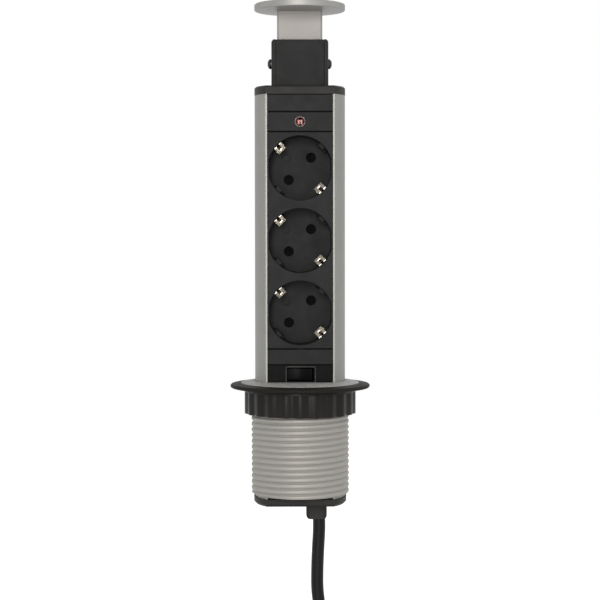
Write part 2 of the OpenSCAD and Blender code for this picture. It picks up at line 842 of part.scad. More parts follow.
module shutter(index) {
    color("#5A5A5A")
    translate([0, shutter_y, socket_z[index]])
    rotate([-90, 0, 0])
    difference() {
        union() {
            cylinder(h = shutter_t, r = 4.6);
            for (a = [0, 180])
                rotate(-pin_angle + a) {
                    translate([pin_r, 0, 0]) cylinder(h = shutter_t, r = shutter_lobe);
                    translate([0, -2.6, 0]) cube([pin_r, 5.2, shutter_t]);
                }
        }
        for (a = [0, 180])
            rotate(-pin_angle + a) translate([pin_r, 0, -1]) cylinder(h = 2, r = 1.2);
        translate([0, 0, -1]) cylinder(h = shutter_t + 2, r = post_r + pivot_gap);
        translate([0, 0, shutter_t - spring_slot_depth])
            difference() {
                cylinder(h = 2, r = spring_slot_r);
                translate([0, 0, -1]) cylinder(h = 4, r = spring_slot_in);
            }
    }
}

module shutter_1() { shutter(0); }

module shutter_2() { shutter(1); }

module shutter_3() { shutter(2); }

// Flat return springs, one coil each in the hub's ring groove
module shutter_springs() {
    color("#B9B9B9")
    at_sockets() along_y(shutter_y + shutter_t - spring_slot_depth + 0.2, 0)
    difference() {
        cylinder(h = spring_slot_depth, r = spring_slot_r - 0.2);
        translate([0, 0, -1]) cylinder(h = spring_slot_depth + 2, r = spring_slot_in + 0.3);
    }
}

module lamp_lens() {
    depth = 9;
    color("#C98F8F")
    difference() {
        union() {
            along_y(panel_face - 0.1, indicator_z) cylinder(h = 0.7, r = lens_r);
            along_y(panel_face + 0.5, indicator_z) cylinder(h = depth, r = lens_bore + 0.45);
        }
        along_y(panel_face - 1, indicator_z) cylinder(h = depth + 3, r = lens_bore);
    }
}

module lamp_bulb() {
    tip_y = panel_face + 0.2;
    color("#7A2F2F", 0.6) {
        difference() {
            union() {
                along_y(tip_y + bulb_r, indicator_z) cylinder(h = 9, r = bulb_r, $fn = 48);
                translate([0, tip_y + bulb_r, indicator_z]) sphere(bulb_r, $fn = 48);
            }
            along_y(tip_y + bulb_r, indicator_z) cylinder(h = 8, r = bulb_r - 0.4, $fn = 48);
        }
    }
}

module lamp_electrodes() {
    tip_y = panel_face + 0.2 + bulb_r;
    color("#E9C9C4")
    for (s = [-1, 1])
        translate([s * 0.75 - 0.25, tip_y + 0.3, indicator_z - 1.1])
        cube([0.5, 7.7 - eps, 2.2]);
}

module lamp_resistor() {
    body_y = panel_face + 0.2 + bulb_r + 9;
    color("#9A8260")
    along_y(body_y, indicator_z) {
        cylinder(h = 1.2, r = 0.4);
        translate([0, 0, 1.2 - eps]) cylinder(h = 6.5, r = 1.3);
        translate([0, 0, 7.7 - 2 * eps]) cylinder(h = 4, r = 0.4);
    }
}

module switch_panel() {
    color("#262626")
    difference() {
        panel_blank(z_switch, z_lower, switch_face);
        translate([-bezel_half + 0.5 - fit, -tower_r, switch_z - bezel_h / 2 + 0.5 - fit])
            cube([2 * (bezel_half - 0.5 + fit), tower_r, bezel_h - 1 + 2 * fit]);
    }
}

module switch_housing() {
    color("#1E1E1E")
    translate([0, 0, switch_z])
    difference() {
        union() {
            translate([-bezel_half, bezel_y, -bezel_h / 2])
                cube([2 * bezel_half, switch_face - bezel_y, bezel_h]);
            translate([-bezel_half + 0.5, bezel_y + eps, -bezel_h / 2 + 0.5])
                cube([2 * bezel_half - 1, housing_back - bezel_y, bezel_h - 1]);
        }
        translate([-opening_half, bezel_y - 1, -opening_h / 2])
            cube([2 * opening_half, pivot_y + 3.2 - bezel_y + 1, opening_h]);
        translate([0, pivot_y, -opening_h / 2 - 0.6])
            cylinder(h = opening_h + 1.2, r = pivot_pin_r + pivot_gap);
        for (x = blades)
            translate([x - blade_w / 2 - fit, housing_back - blade_root, -blade_t / 2 - fit])
            cube([blade_w + 2 * fit, blade_root + 1, blade_t + 2 * fit]);
    }
}

// The rocker stands with its left end pressed in
module rocker() {
    half = rocker_l / 2;
    crown = 2.1;
    lift = half * tan(rocker_tilt);
    back = 1.6;
    color("#161616")
    translate([0, pivot_y, switch_z]) rotate(-rocker_tilt) {
        translate([0, 0, -rocker_h / 2])
        linear_extrude(rocker_h)
        difference() {
            polygon([[-half, -crown - lift], [0, -crown], [half, -crown - lift],
                     [half, back], [-half, back]]);
            for (s = [-1, 1])
                translate([s * half, -crown - lift]) rotate(45)
                square(0.9, center = true);
        }
        for (s = [0, 1])
            mirror([0, 0, s])
            translate([0, 0, rocker_h / 2 - eps]) cylinder(h = rocker_gap + 0.5, r = pivot_pin_r);
    }
}

module switch_terminals() {
    color(contact_metal)
    for (x = blades)
        translate([x - blade_w / 2, housing_back - blade_root + fit, switch_z - blade_t / 2])
        cube([blade_w, blade_root + blade_reach - fit, blade_t]);
}

wire_r = 1.1;
wire_sides = 6;
bar_y = pocket_y + 0.05 + clip_t + strip_t;

module line_wire() {
    low = tail_top + 9;
    high = switch_z - 13.5;
    color("#6B4226")
    tube([[cord_x - 1.2, 0, tail_top], [cord_x - 1.2, 0, tail_top + 3], [cord_x - 2.4, 1, low],
          [cord_x - 5, 4, lerp(low, high, 0.4)], [-2, 7, lerp(low, high, 0.72)],
          [blades[0], blade_end + wire_r, high], [blades[0], blade_end + wire_r, switch_z - 4],
          [blades[0], blade_end + wire_r, switch_z + 1.2]], wire_r, wire_sides);
}

module switched_wire() {
    color("#1C1C1C")
    tube([[blades[2], blade_end + wire_r, switch_z - 1.2],
          [blades[2], blade_end + wire_r, switch_z + 4], [6.4, 12, bus_foot - 2],
          [bus_x, strip_y - wire_r, bus_foot + 3], [bus_x, strip_y - wire_r, bus_foot + 7]],
         wire_r, wire_sides);
}

module neutral_wire() {
    low = tail_top + 11;
    high = bus_foot + 2;
    color("#2D5FA8")
    tube([[cord_x, 2.2, tail_top], [cord_x, 2.2, tail_top + 3], [cord_x - 1, 4, low],
          [3, 12, lerp(low, high, 0.42)], [-5, 16, lerp(low, high, 0.73)],
          [-bus_x, strip_y - wire_r, high], [-bus_x, strip_y - wire_r, high + 5]],
         wire_r, wire_sides);
}

module earth_wire() {
    low = tail_top + 13;
    high = earth_foot + 2.2;
    color("#8FA63A")
    tube([[cord_x + 1.2, 0, tail_top], [cord_x + 1.2, 0, tail_top + 3], [cord_x + 1, 2.5, low],
          [8, 8, lerp(low, high, 0.43)], [2.5, bar_y + wire_r + 1, lerp(low, high, 0.71)],
          [0, bar_y + wire_r, high], [0, bar_y + wire_r, high + 9]], wire_r, wire_sides);
}

module strain_relief() {
    depth = 12.2;
    aside = 1.6;
    color("#262626")
    translate([cord_x - aside, 0, relief_z])
    difference() {
        intersection() {
            linear_extrude(relief_h) rounded_rect(relief_w, depth, 2.4);
            translate([0, depth, relief_h / 2 + 2]) rotate([90, 0, 0])
                linear_extrude(2 * depth) rounded_rect(relief_w, relief_h + 4, 2.4);
        }
        translate([aside, 0, -1]) cylinder(h = relief_h + 2, r = cord_r + fit);
    }
}

module cord_clamp() {
    color("#3C3C3C")
    translate([cord_x, 0, -tower_tail + clamp_seat_h])
    difference() {
        translate([-4.5, -clamp_half - 2.4, 0]) cube([9, 2 * clamp_half + 4.8, clamp_t]);
        translate([0, 0, -1]) cylinder(h = clamp_t + 2, r = cord_r + fit);
        for (s = [-1, 1])
            translate([0, s * clamp_half, -1]) cylinder(h = clamp_t + 2, r = 1.6);
    }
}

module clamp_screws() {
    color("#77777A")
    for (s = [-1, 1])
        translate([cord_x, s * clamp_half, -tower_tail + clamp_seat_h + clamp_t]) {
            difference() {
                cylinder(h = 1.8, r = 2.3);
                translate([-0.4, -3, 1]) cube([0.8, 6, 2]);
            }
            translate([0, 0, -10]) cylinder(h = 10 + eps, r = 1.1 - fit);
        }
}

module cord_tail() {
    color("#202020")
    translate([cord_x, 0, relief_z]) cylinder(h = tail_top - relief_z, r = cord_r, $fn = 48);
}

module cord() {
    color("#202020") tube(cord_points, cord_r, cord_sides);
}

module cord_hank() {
    color("#202020") tube(hank_path, cord_r, hank_sides);
}

module cord_lead() {
    color("#202020")
    tube([[cord_x, 0, lead_start_z], [cord_x, 0, lead_end_z]], cord_r, cord_sides);
}

module hank_tie() {
    tie_h = 9;
    tie_t = 1.4;
    tie_w = 2 * (hank_out - hank_draw + cord_r + 1.1);
    tie_d = 2 * (layer_half + cord_r + 0.4);
    color("#111111")
    translate(hank_centre - [0, 0, tie_h / 2])
    linear_extrude(tie_h)
    difference() {
        rounded_rect(tie_w + 2 * tie_t, tie_d + 2 * tie_t, 4);
        rounded_rect(tie_w, tie_d, 4 - tie_t);
    }
}

// The plug hangs with its pins down; its flex sleeve takes the cord on top
module plug_body() {
    face_z = plug_z - plug_l;
    plug_r = plug_d / 2;
    rings = 5;
    ring_step = sleeve_l / rings;
    sleeve = [for (i = [0 : rings - 1], p = [[0, 0], [0, 0.55], [0.6, 0.6], [0.6, 0.95]])
        [lerp(6.8, cord_r + 1.5, (i + p[1]) / rings) - p[0], plug_z + (i + p[1]) * ring_step]];
    color("#1E1E1E")
    translate([cord_x, 0, 0])
    difference() {
        rotate_extrude($fn = 96)
            polygon(concat([[0, face_z], [plug_r - 0.8, face_z], [plug_r, face_z + 0.8],
                            [plug_r, face_z + 15], [plug_r - 1.2, face_z + 17],
                            [plug_r - 2.4, face_z + 24], [plug_r - 6, face_z + 30], [8, plug_z]],
                           sleeve, [[cord_r + 0.8, lead_end_z], [0, lead_end_z]]));
        for (s = [-1, 1])
            translate([s * (plug_r - 1.8) - 2, -3, face_z - 1]) cube([4, 6, 14]);
        for (s = [-1, 1])
            translate([0, s * (plug_r - 0.6), face_z + 7.5])
            cube([7.4, 1.4, 17], center = true);
        for (s = [-1, 1])
            translate([s * pin_r, 0, face_z - 1]) cylinder(h = 13, r = plug_pin_d / 2 - 0.5 + fit);
        translate([0, 10, face_z - 1]) cylinder(h = 19, r = 2.5);
    }
}

module plug_pins() {
    face_z = plug_z - plug_l;
    tip = 1.2;
    pin = plug_pin_d / 2;
    color("#C8C6C0")
    for (s = [-1, 1])
        translate([cord_x + s * pin_r, 0, face_z - plug_pin_l]) {
            cylinder(h = tip, r1 = pin - 1, r2 = pin);
            translate([0, 0, tip - eps]) cylinder(h = plug_pin_l - tip + eps, r = pin);
            translate([0, 0, plug_pin_l - eps]) cylinder(h = 12, r = pin - 0.5);
        }
}

module plug_contacts() {
    face_z = plug_z - plug_l;
    plug_r = plug_d / 2;
    color(contact_metal)
    for (s = [0, 1])
        translate([cord_x, 0, 0]) mirror([0, s, 0])
        translate([-3.6, plug_r - 1.2, face_z + 0.4]) cube([7.2, 0.8, 15.2]);
}

echo(cord_length = path_length(cord_points) + path_length(hank_path)
        + lead_start_z - lead_end_z);

flange_ring();
bezel_ring();
friction_ring();
threaded_barrel();
thrust_washer();
clamp_nut();
tower_profile();
top_cap();
bottom_cap();
cap_screws();
neck_block();
neck_plate();
handle_strap();
strap_screws();
lid_disc();
blank_panel_upper();
indicator_panel();
socket_insert();
blank_panel_lower();
switch_panel();
lower_front_panel();
socket_base();
base_cover();
line_busbar();
neutral_busbar();
earth_clips();
earth_bar();
shutter_1();
shutter_2();
shutter_3();
shutter_springs();
lamp_lens();
lamp_bulb();
lamp_electrodes();
lamp_resistor();
switch_housing();
rocker();
switch_terminals();
line_wire();
switched_wire();
neutral_wire();
earth_wire();
strain_relief();
cord_clamp();
clamp_screws();
cord_tail();
cord();
cord_hank();
hank_tie();
cord_lead();
plug_body();
plug_pins();
plug_contacts();
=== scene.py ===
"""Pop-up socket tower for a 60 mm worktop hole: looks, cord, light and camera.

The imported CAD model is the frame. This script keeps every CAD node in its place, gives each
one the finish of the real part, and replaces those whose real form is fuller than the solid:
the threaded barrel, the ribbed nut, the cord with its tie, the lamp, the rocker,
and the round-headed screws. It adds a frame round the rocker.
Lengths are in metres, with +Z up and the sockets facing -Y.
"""

from __future__ import annotations

import json
import logging
import math
from collections.abc import Callable, Iterable, Sequence
from dataclasses import dataclass, field
from enum import Enum
from typing import ClassVar

import bmesh
import bpy
from mathutils import Matrix, Vector

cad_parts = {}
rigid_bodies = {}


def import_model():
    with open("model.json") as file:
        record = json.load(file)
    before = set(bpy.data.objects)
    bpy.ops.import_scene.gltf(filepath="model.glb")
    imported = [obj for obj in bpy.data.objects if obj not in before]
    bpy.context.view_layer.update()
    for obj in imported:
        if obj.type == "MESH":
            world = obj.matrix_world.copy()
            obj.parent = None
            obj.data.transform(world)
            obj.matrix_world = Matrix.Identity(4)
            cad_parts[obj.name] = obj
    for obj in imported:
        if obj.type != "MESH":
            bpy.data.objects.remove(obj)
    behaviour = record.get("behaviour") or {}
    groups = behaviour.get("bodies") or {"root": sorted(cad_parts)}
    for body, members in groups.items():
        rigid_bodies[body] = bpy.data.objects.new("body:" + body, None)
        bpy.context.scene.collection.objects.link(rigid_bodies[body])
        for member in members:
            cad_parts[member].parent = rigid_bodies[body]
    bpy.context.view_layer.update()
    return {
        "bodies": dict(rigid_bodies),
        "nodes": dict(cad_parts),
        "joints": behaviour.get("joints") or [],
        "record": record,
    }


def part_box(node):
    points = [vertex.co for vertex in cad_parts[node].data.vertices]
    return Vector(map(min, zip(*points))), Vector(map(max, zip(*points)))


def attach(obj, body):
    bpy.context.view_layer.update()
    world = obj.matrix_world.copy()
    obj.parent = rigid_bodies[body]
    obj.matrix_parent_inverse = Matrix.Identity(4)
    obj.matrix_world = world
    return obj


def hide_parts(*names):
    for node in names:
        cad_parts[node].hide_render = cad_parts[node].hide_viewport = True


MM = 0.001
FINE = 128  # facets round a bore that shows
SHARP = math.radians(50)  # angle between faces over which an edge is rounded
HAIR = 0.01 * MM  # slack where a vertex is found by its place
FACING = 0.9  # part of a normal along an axis, for a face that looks along it
LOG = logging.getLogger("socket_tower")


class Body(Enum):
    """The CAD bodies that the new pieces ride on."""

    COLLAR = "collar"
    NUT = "nut"
    TOWER = "tower"
    ROCKER = "rocker"


class Part(Enum):
    """The parts of a mesh that are picked in edit mode, with bmesh's names for them."""

    EDGE = "edges"
    FACE = "faces"


class Cut(Enum):
    """What a tool does to a piece, with Blender's names for it."""

    AWAY = "DIFFERENCE"
    ONTO = "UNION"


class Bands(Enum):
    """The directions across a finish's bands, with Blender's names for them."""

    RINGS = "Y"
    WOUND = "DIAGONAL"


def linear(colour: str) -> tuple[float, float, float, float]:
    """Turns an sRGB hex colour into the linear colour that Blender's sockets take.

    Args:
        colour: the colour as "#RRGGBB".

    Returns:
        Red, green, blue and an alpha of 1.
    """
    parts = [int(colour[i : i + 2], 16) / 255 for i in (1, 3, 5)]
    done = [c / 12.92 if c <= 0.04045 else ((c + 0.055) / 1.055) ** 2.4 for c in parts]
    return (done[0], done[1], done[2], 1.0)


@dataclass
class Graph:
    """A node tree, of a material or of the world.

    Attributes:
        tree: the node tree that is filled.
    """

    tree: bpy.types.NodeTree

    def add(
        self, kind: str, inputs: dict | None = None, output: int | str = 0, **settings: object
    ) -> bpy.types.NodeSocket:
        """Adds a node, sets its properties and fills or links its inputs.

        Args:
            kind: Blender's type name of the node.
            inputs: by input name or number, a value or the output socket to link.
            output: name or number of the output that is wanted.
            settings: property values of the node by property name.

        Returns:
            That output socket.
        """
        node = self.tree.nodes.new(kind)
        for key, value in settings.items():
            setattr(node, key, value)
        self.fill(node, inputs or {})
        return node.outputs[output]

    def fill(self, node: bpy.types.Node, inputs: dict) -> None:
        """Sets or links the inputs of a node.

        Args:
            node: the node.
            inputs: by input name or number, a value or the output socket to link.
        """
        for key, value in inputs.items():
            if isinstance(value, bpy.types.NodeSocket):
                self.tree.links.new(value, node.inputs[key])
            else:
                node.inputs[key].default_value = value

    def shown(self) -> bpy.types.NodeSocket:
        """Tells the rays that show a thing from those that only light by it.

        Returns:
            A socket that is 1 for what the camera sees, also in metal and through glass, and else 0.
        """
        rays = [
            self.add("ShaderNodeLightPath", output=name)
            for name in ("Is Camera Ray", "Is Glossy Ray", "Is Transmission Ray")
        ]
        mirrored = self.add("ShaderNodeMath", {0: rays[0], 1: rays[1]}, operation="MAXIMUM")
        return self.add("ShaderNodeMath", {0: mirrored, 1: rays[2]}, operation="MAXIMUM")


class Recipe(Graph):
    """The node tree of one material, with its Principled shader.

    Attributes:
        material: the material itself.
        place: Object coordinates, in metres.
    """

    def __init__(self, name: str) -> None:
        """Makes an empty material around one Principled shader.

        Args:
            name: the material's name.
        """
        self.material = bpy.data.materials.new(name)
        self.material.use_nodes = True
        super().__init__(self.material.node_tree)
        self.place = self.add("ShaderNodeTexCoord", output="Object")

    def reach(self) -> bpy.types.NodeSocket:
        """Returns the distance from the Z axis."""
        across = self.add("ShaderNodeVectorMath", {0: self.place, 1: (1, 1, 0)}, operation="MULTIPLY")
        return self.add("ShaderNodeVectorMath", {0: across}, output="Value", operation="LENGTH")

    def shade(self, inputs: dict) -> None:
        """Sets or links the inputs of the Principled shader."""
        self.fill(self.tree.nodes["Principled BSDF"], inputs)


@dataclass(frozen=True)
class Finish:
    """A finish that makes its material once and gives it to any number of pieces.

    Attributes:
        name: the material's name, after the real material.
        slot: the record's material slot that it stands for; not used.
        ground, second: its own tone, and the one that its tone pattern brings in.
        roughness: middle roughness.
        smoother, rougher: how far the roughness goes down and up.
        depth: height of the relief.
        edge: radius that the piece's edges look rounded by; 0 leaves them sharp.
    """

    name: str
    slot: str
    ground: str
    second: str
    roughness: float
    smoother: ClassVar[float] = 0.0
    rougher: ClassVar[float] = 0.0
    depth: ClassVar[float] = 0.0
    edge: ClassVar[float] = 0.0

    def mix(self, recipe: Recipe) -> None:
        """Fills the material; each kind of finish has its own.

        Args:
            recipe: the material's node tree.
        """
        raise NotImplementedError

    def skin(
        self,
        recipe: Recipe,
        tones: bpy.types.NodeSocket,
        satin: bpy.types.NodeSocket | None,
        relief: bpy.types.NodeSocket,
        inputs: dict,
    ) -> None:
        """Gives the shader the finish's two tones, its gloss and its relief by their patterns.

        Args:
            recipe: the material's node tree.
            tones: pattern that goes from 0, the ground, to 1, the second tone.
            satin: pattern that goes from 0, the smoothest, to 1, the roughest; None for an even gloss.
            relief: pattern of the relief.
            inputs: other inputs of the shader.
        """
        mixed = {"Factor": tones, 6: linear(self.ground), 7: linear(self.second)}
        tone = recipe.add("ShaderNodeMix", mixed, output=2, data_type="RGBA")
        gloss = self.roughness
        if satin is not None:
            low, high = self.roughness - self.smoother, self.roughness + self.rougher
            gloss = recipe.add("ShaderNodeMapRange", {"Value": satin, "To Min": low, "To Max": high})
        bump = {"Height": relief, "Distance": self.depth}
        if self.edge:
            bump["Normal"] = recipe.add("ShaderNodeBevel", {"Radius": self.edge}, samples=4)
        normal = recipe.add("ShaderNodeBump", bump)
        recipe.shade({"Base Color": tone, "Roughness": gloss, "Normal": normal, **inputs})

    def material(self) -> bpy.types.Material:
        """Makes the finish's material at first use.

        Returns:
            The material.
        """
        found = bpy.data.materials.get(self.name)
        if found is None:
            recipe = Recipe(self.name)
            self.mix(recipe)
            found = recipe.material
        return found

    def coat(self, piece: bpy.types.Object) -> None:
        """Puts the finish on a whole piece.

        Args:
            piece: the mesh or curve.
        """
        if not piece.material_slots:
            piece.data.materials.append(None)
        for place in piece.material_slots:
            place.material = self.material()


@dataclass(frozen=True)
class MouldedPlastic(Finish):
    """Injection-moulded plastic from a spark-eroded mould: an even, finely pebbled satin.

    The second tone is the slightly paler one of handled or flow-marked areas.

    Attributes:
        sheen: specular level; the pebbles swallow part of the mirror reflection.
        pebble: pebble size; 0.2 mm pebbles are drawn coarser, to show at all.
        flow, cloud: sizes of the clouds that the melt's flow leaves in tone and in gloss.
        ior: refractive index of ABS and nylon.
    """

    sheen: float = 0.22
    pebble: ClassVar[float] = 0.7 * MM
    flow: ClassVar[float] = 18 * MM
    cloud: ClassVar[float] = 7 * MM
    ior: ClassVar[float] = 1.54
    smoother, rougher, depth, edge = 0.1, 0.1, 0.012 * MM, 0.3 * MM

    def mix(self, recipe: Recipe) -> None:
        """Fine pebbles, with the flow's clouds in tone and gloss.

        Args:
            recipe: the material's node tree.
        """
        pebbles = recipe.add("ShaderNodeTexNoise", {"Vector": recipe.place, "Scale": 1 / self.pebble, "Detail": 3.0})
        flow = recipe.add("ShaderNodeTexNoise", {"Vector": recipe.place, "Scale": 1 / self.flow})
        cloud = recipe.add("ShaderNodeTexNoise", {"Vector": recipe.place, "Scale": 1 / self.cloud})
        self.skin(recipe, flow, cloud, pebbles, {"IOR": self.ior, "Specular IOR Level": self.sheen})


@dataclass(frozen=True)
class SatinAluminium(Finish):
    """Etched and clear-anodised aluminium: a grey satin metal, half mirror and half glow.

    The second tone is where the etch left it brighter or duller.

    Attributes:
        metallic: share of mirror metal; the etched oxide scatters the rest.
        grain: width of a die line or blast mark, drawn at two to three times its 0.15 mm.
        draw: how many times longer a mark is along the drawn direction, Z.
        cloud: size of the clouds that the etch leaves in the tone.
    """

    metallic: float = 0.42
    grain: float = 0.3 * MM
    draw: float = 400.0
    cloud: ClassVar[float] = 12 * MM
    smoother, rougher, depth, edge = 0.12, 0.12, 0.006 * MM, 0.3 * MM

    def mix(self, recipe: Recipe) -> None:
        """Die lines or blast marks roughen the metal, and the etch clouds it.

        Args:
            recipe: the material's node tree.
        """
        drawn = recipe.add("ShaderNodeMapping", {"Vector": recipe.place, "Scale": (1, 1, 1 / self.draw)})
        marks = recipe.add("ShaderNodeTexNoise", {"Vector": drawn, "Scale": 1 / self.grain, "Detail": 2.0})
        cloud = recipe.add("ShaderNodeTexNoise", {"Vector": recipe.place, "Scale": 1 / self.cloud})
        self.skin(recipe, cloud, marks, marks, {"Metallic": self.metallic})


@dataclass(frozen=True)
class TurnedSteel(Finish):
    """Stainless steel faced on a lathe: fine rings round the axis that stretch highlights.

    The ground tone lies in the deeper rings, as painted shade in the grooves.

    Attributes:
        feed: spacing of the rings, drawn at four times the tool's 0.1 mm.
        metallic: share of mirror metal; the rings scatter the rest.
        stretch: how far the rings stretch a highlight, 0 to 1.
    """

    feed: ClassVar[float] = 0.4 * MM
    metallic: ClassVar[float] = 0.55
    stretch: ClassVar[float] = 0.45
    smoother, rougher, depth, edge = 0.09, 0.09, 0.004 * MM, 0.25 * MM

    def mix(self, recipe: Recipe) -> None:
        """Noise over distance from the axis and height gives rings on the face and the rim.

        Args:
            recipe: the material's node tree.
        """
        height = recipe.add("ShaderNodeSeparateXYZ", {0: recipe.place}, output=2)
        ringed = recipe.add("ShaderNodeCombineXYZ", {0: recipe.reach(), 2: height})
        rings = recipe.add("ShaderNodeTexNoise", {"Vector": ringed, "Scale": 1 / self.feed, "Detail": 1.0})
        around = recipe.add("ShaderNodeTangent", direction_type="RADIAL", axis="Z")
        more = {"Metallic": self.metallic, "Anisotropic": self.stretch, "Tangent": around}
        # The rings' pattern darkens the tone where the relief is deepest: painted shade in the grooves.
        self.skin(recipe, rings, rings, rings, more)


@dataclass(frozen=True)
class SilverPlastic(Finish):
    """ABS pigmented or sprayed with aluminium flake: half metal, half satin plastic.

    The tones are those of flakes that lie away from the light and towards it.

    Attributes:
        metallic: share of metal in the surface.
        flake: size of a flake cluster, drawn at two to three times its 0.3 mm.
        sheen: specular level of the plastic.
        peel: length of the orange peel's waves.
    """

    metallic: float
    flake: float
    sheen: float = 0.5
    peel: ClassVar[float] = 1.1 * MM
    smoother, rougher, depth, edge = 0.06, 0.06, 0.008 * MM, 0.3 * MM

    def mix(self, recipe: Recipe) -> None:
        """Each flake cluster has its own tone, and orange peel waves the surface.

        Args:
            recipe: the material's node tree.
        """
        cells = recipe.add("ShaderNodeTexVoronoi", {"Vector": recipe.place, "Scale": 1 / self.flake}, output="Color")
        lie = recipe.add("ShaderNodeSeparateColor", {0: cells})
        peel = recipe.add("ShaderNodeTexNoise", {"Vector": recipe.place, "Scale": 1 / self.peel})
        self.skin(recipe, lie, lie, peel, {"Metallic": self.metallic, "Specular IOR Level": self.sheen})


@dataclass(frozen=True)
class PlatedMetal(Finish):
    """Stamped or drawn metal with a thin plating: bright, with a soft grain from the rolling.

    The second tone is where the plating is thin.

    Attributes:
        metallic: share of mirror metal; dull tin and zinc scatter the rest.
        grain, draw: width of the rolling grain, drawn coarser than life, and how much longer it is.
        thin: size of the thinner places.
    """

    metallic: float = 0.7
    grain: ClassVar[float] = 0.35 * MM
    draw: ClassVar[float] = 30.0
    thin: ClassVar[float] = 4 * MM
    smoother, rougher, depth, edge = 0.1, 0.12, 0.003 * MM, 0.1 * MM

    def mix(self, recipe: Recipe) -> None:
        """Rolling grain along Z, and a faint change of tone.

        Args:
            recipe: the material's node tree.
        """
        rolled = recipe.add("ShaderNodeMapping", {"Vector": recipe.place, "Scale": (1, 1, 1 / self.draw)})
        grain = recipe.add("ShaderNodeTexNoise", {"Vector": rolled, "Scale": 1 / self.grain})
        thin = recipe.add("ShaderNodeTexNoise", {"Vector": recipe.place, "Scale": 1 / self.thin})
        self.skin(recipe, thin, grain, grain, {"Metallic": self.metallic})


@dataclass(frozen=True)
class GlowingMetal(PlatedMetal):
    """Coated electrodes of a lit glow lamp, wrapped in a pale pink glow that is partly painted light, for the lamps'
    light that the glass keeps off them.

    Attributes:
        light: colour of the glow.
        power: its strength; 1 is white on the screen.
    """

    # Partly painted light: besides the lamp's own glow, this emission stands in for the lamps' light that the
    # refracting glass keeps off the electrodes.
    light: ClassVar[str] = "#FFDCD8"
    power: ClassVar[float] = 1.7

    def mix(self, recipe: Recipe) -> None:
        """Adds the glow to the plated metal.

        Args:
            recipe: the material's node tree.
        """
        super().mix(recipe)
        recipe.shade({"Emission Color": linear(self.light), "Emission Strength": self.power})


@dataclass(frozen=True)
class PolishedPlastic(Finish):
    """Moulded plastic from a polished mould: deep and glossy, with faint sink and wipe marks.

    The second tone is where fingers have dulled it.

    Attributes:
        through: share of light that passes, 0 to 1, in clear or tinted plastic and glass.
        sheen: specular level of the skin.
        wipe: size of the wipe marks, which dull the skin.
        sink: size of the sink marks, which bend reflections a little.
        ior: refractive index of polycarbonate, nylon and glass, taken as one.
    """

    through: float
    sheen: float
    wipe: ClassVar[float] = 3 * MM
    sink: ClassVar[float] = 6 * MM
    ior: ClassVar[float] = 1.5
    smoother, rougher, depth = 0.06, 0.08, 0.02 * MM

    def mix(self, recipe: Recipe) -> None:
        """Wipe marks over sink marks.

        Args:
            recipe: the material's node tree.
        """
        wiped = recipe.add("ShaderNodeTexNoise", {"Vector": recipe.place, "Scale": 1 / self.wipe})
        sunk = recipe.add("ShaderNodeTexNoise", {"Vector": recipe.place, "Scale": 1 / self.sink})
        more = {"IOR": self.ior, "Specular IOR Level": self.sheen, "Transmission Weight": self.through}
        self.skin(recipe, wiped, wiped, sunk, more)


@dataclass(frozen=True)
class SoftRubber(Finish):
    """PVC or rubber: a dull, slightly waxy skin with fine pores.

    The second tone is greyer, where the surface has bloomed.

    Attributes:
        draw: how many times longer a pore is along the extruded direction, Z.
        pore: size of a pore, drawn at three times its 0.2 mm.
        cloud: size of the bloom's clouds.
        ior: refractive index of PVC.
        sheen: specular level.
    """

    draw: float = 3.0
    pore: ClassVar[float] = 0.6 * MM
    cloud: ClassVar[float] = 14 * MM
    ior: ClassVar[float] = 1.52
    sheen: ClassVar[float] = 0.15
    smoother, rougher, depth = 0.12, 0.16, 0.012 * MM

    def mix(self, recipe: Recipe) -> None:
        """Pores that the extruder drew out, and cloudy bloom.

        Args:
            recipe: the material's node tree.
        """
        drawn = recipe.add("ShaderNodeMapping", {"Vector": recipe.place, "Scale": (1, 1, 1 / self.draw)})
        pores = recipe.add("ShaderNodeTexNoise", {"Vector": drawn, "Scale": 1 / self.pore, "Detail": 3.0})
        cloud = recipe.add("ShaderNodeTexNoise", {"Vector": recipe.place, "Scale": 1 / self.cloud})
        self.skin(recipe, cloud, cloud, pores, {"IOR": self.ior, "Specular IOR Level": self.sheen})


@dataclass(frozen=True)
class RingedLacquer(Finish):
    """Lacquer or insulation with its second tone in bands, such as rings or a winding stripe.

    Attributes:
        spacing: distance from band to band.
        share: share of the spacing that a band takes.
        direction: the direction across the bands.
        soft: share of the wave over which a band's edge fades, either way.
        peel: length of the waves in the skin.
    """

    spacing: float = 1.4 * MM
    share: float = 0.3
    direction: Bands = Bands.RINGS
    soft: ClassVar[float] = 0.04
    peel: ClassVar[float] = 1 * MM
    depth = 0.015 * MM

    def mix(self, recipe: Recipe) -> None:
        """A wave that repeats every pi / 10 of its scaled coordinate is cut into bands.

        Args:
            recipe: the material's node tree.
        """
        turned = {"Vector": recipe.place, "Scale": math.pi / 10 / self.spacing}
        wave = recipe.add("ShaderNodeTexWave", turned, output="Fac", bands_direction=self.direction.value)
        edge = math.cos(math.pi * self.share) / 2 + 0.5
        sharp = {"Value": wave, "From Min": edge - self.soft, "From Max": edge + self.soft}
        bands = recipe.add("ShaderNodeMapRange", sharp)
        peel = recipe.add("ShaderNodeTexNoise", {"Vector": recipe.place, "Scale": 1 / self.peel})
        self.skin(recipe, bands, None, peel, {})


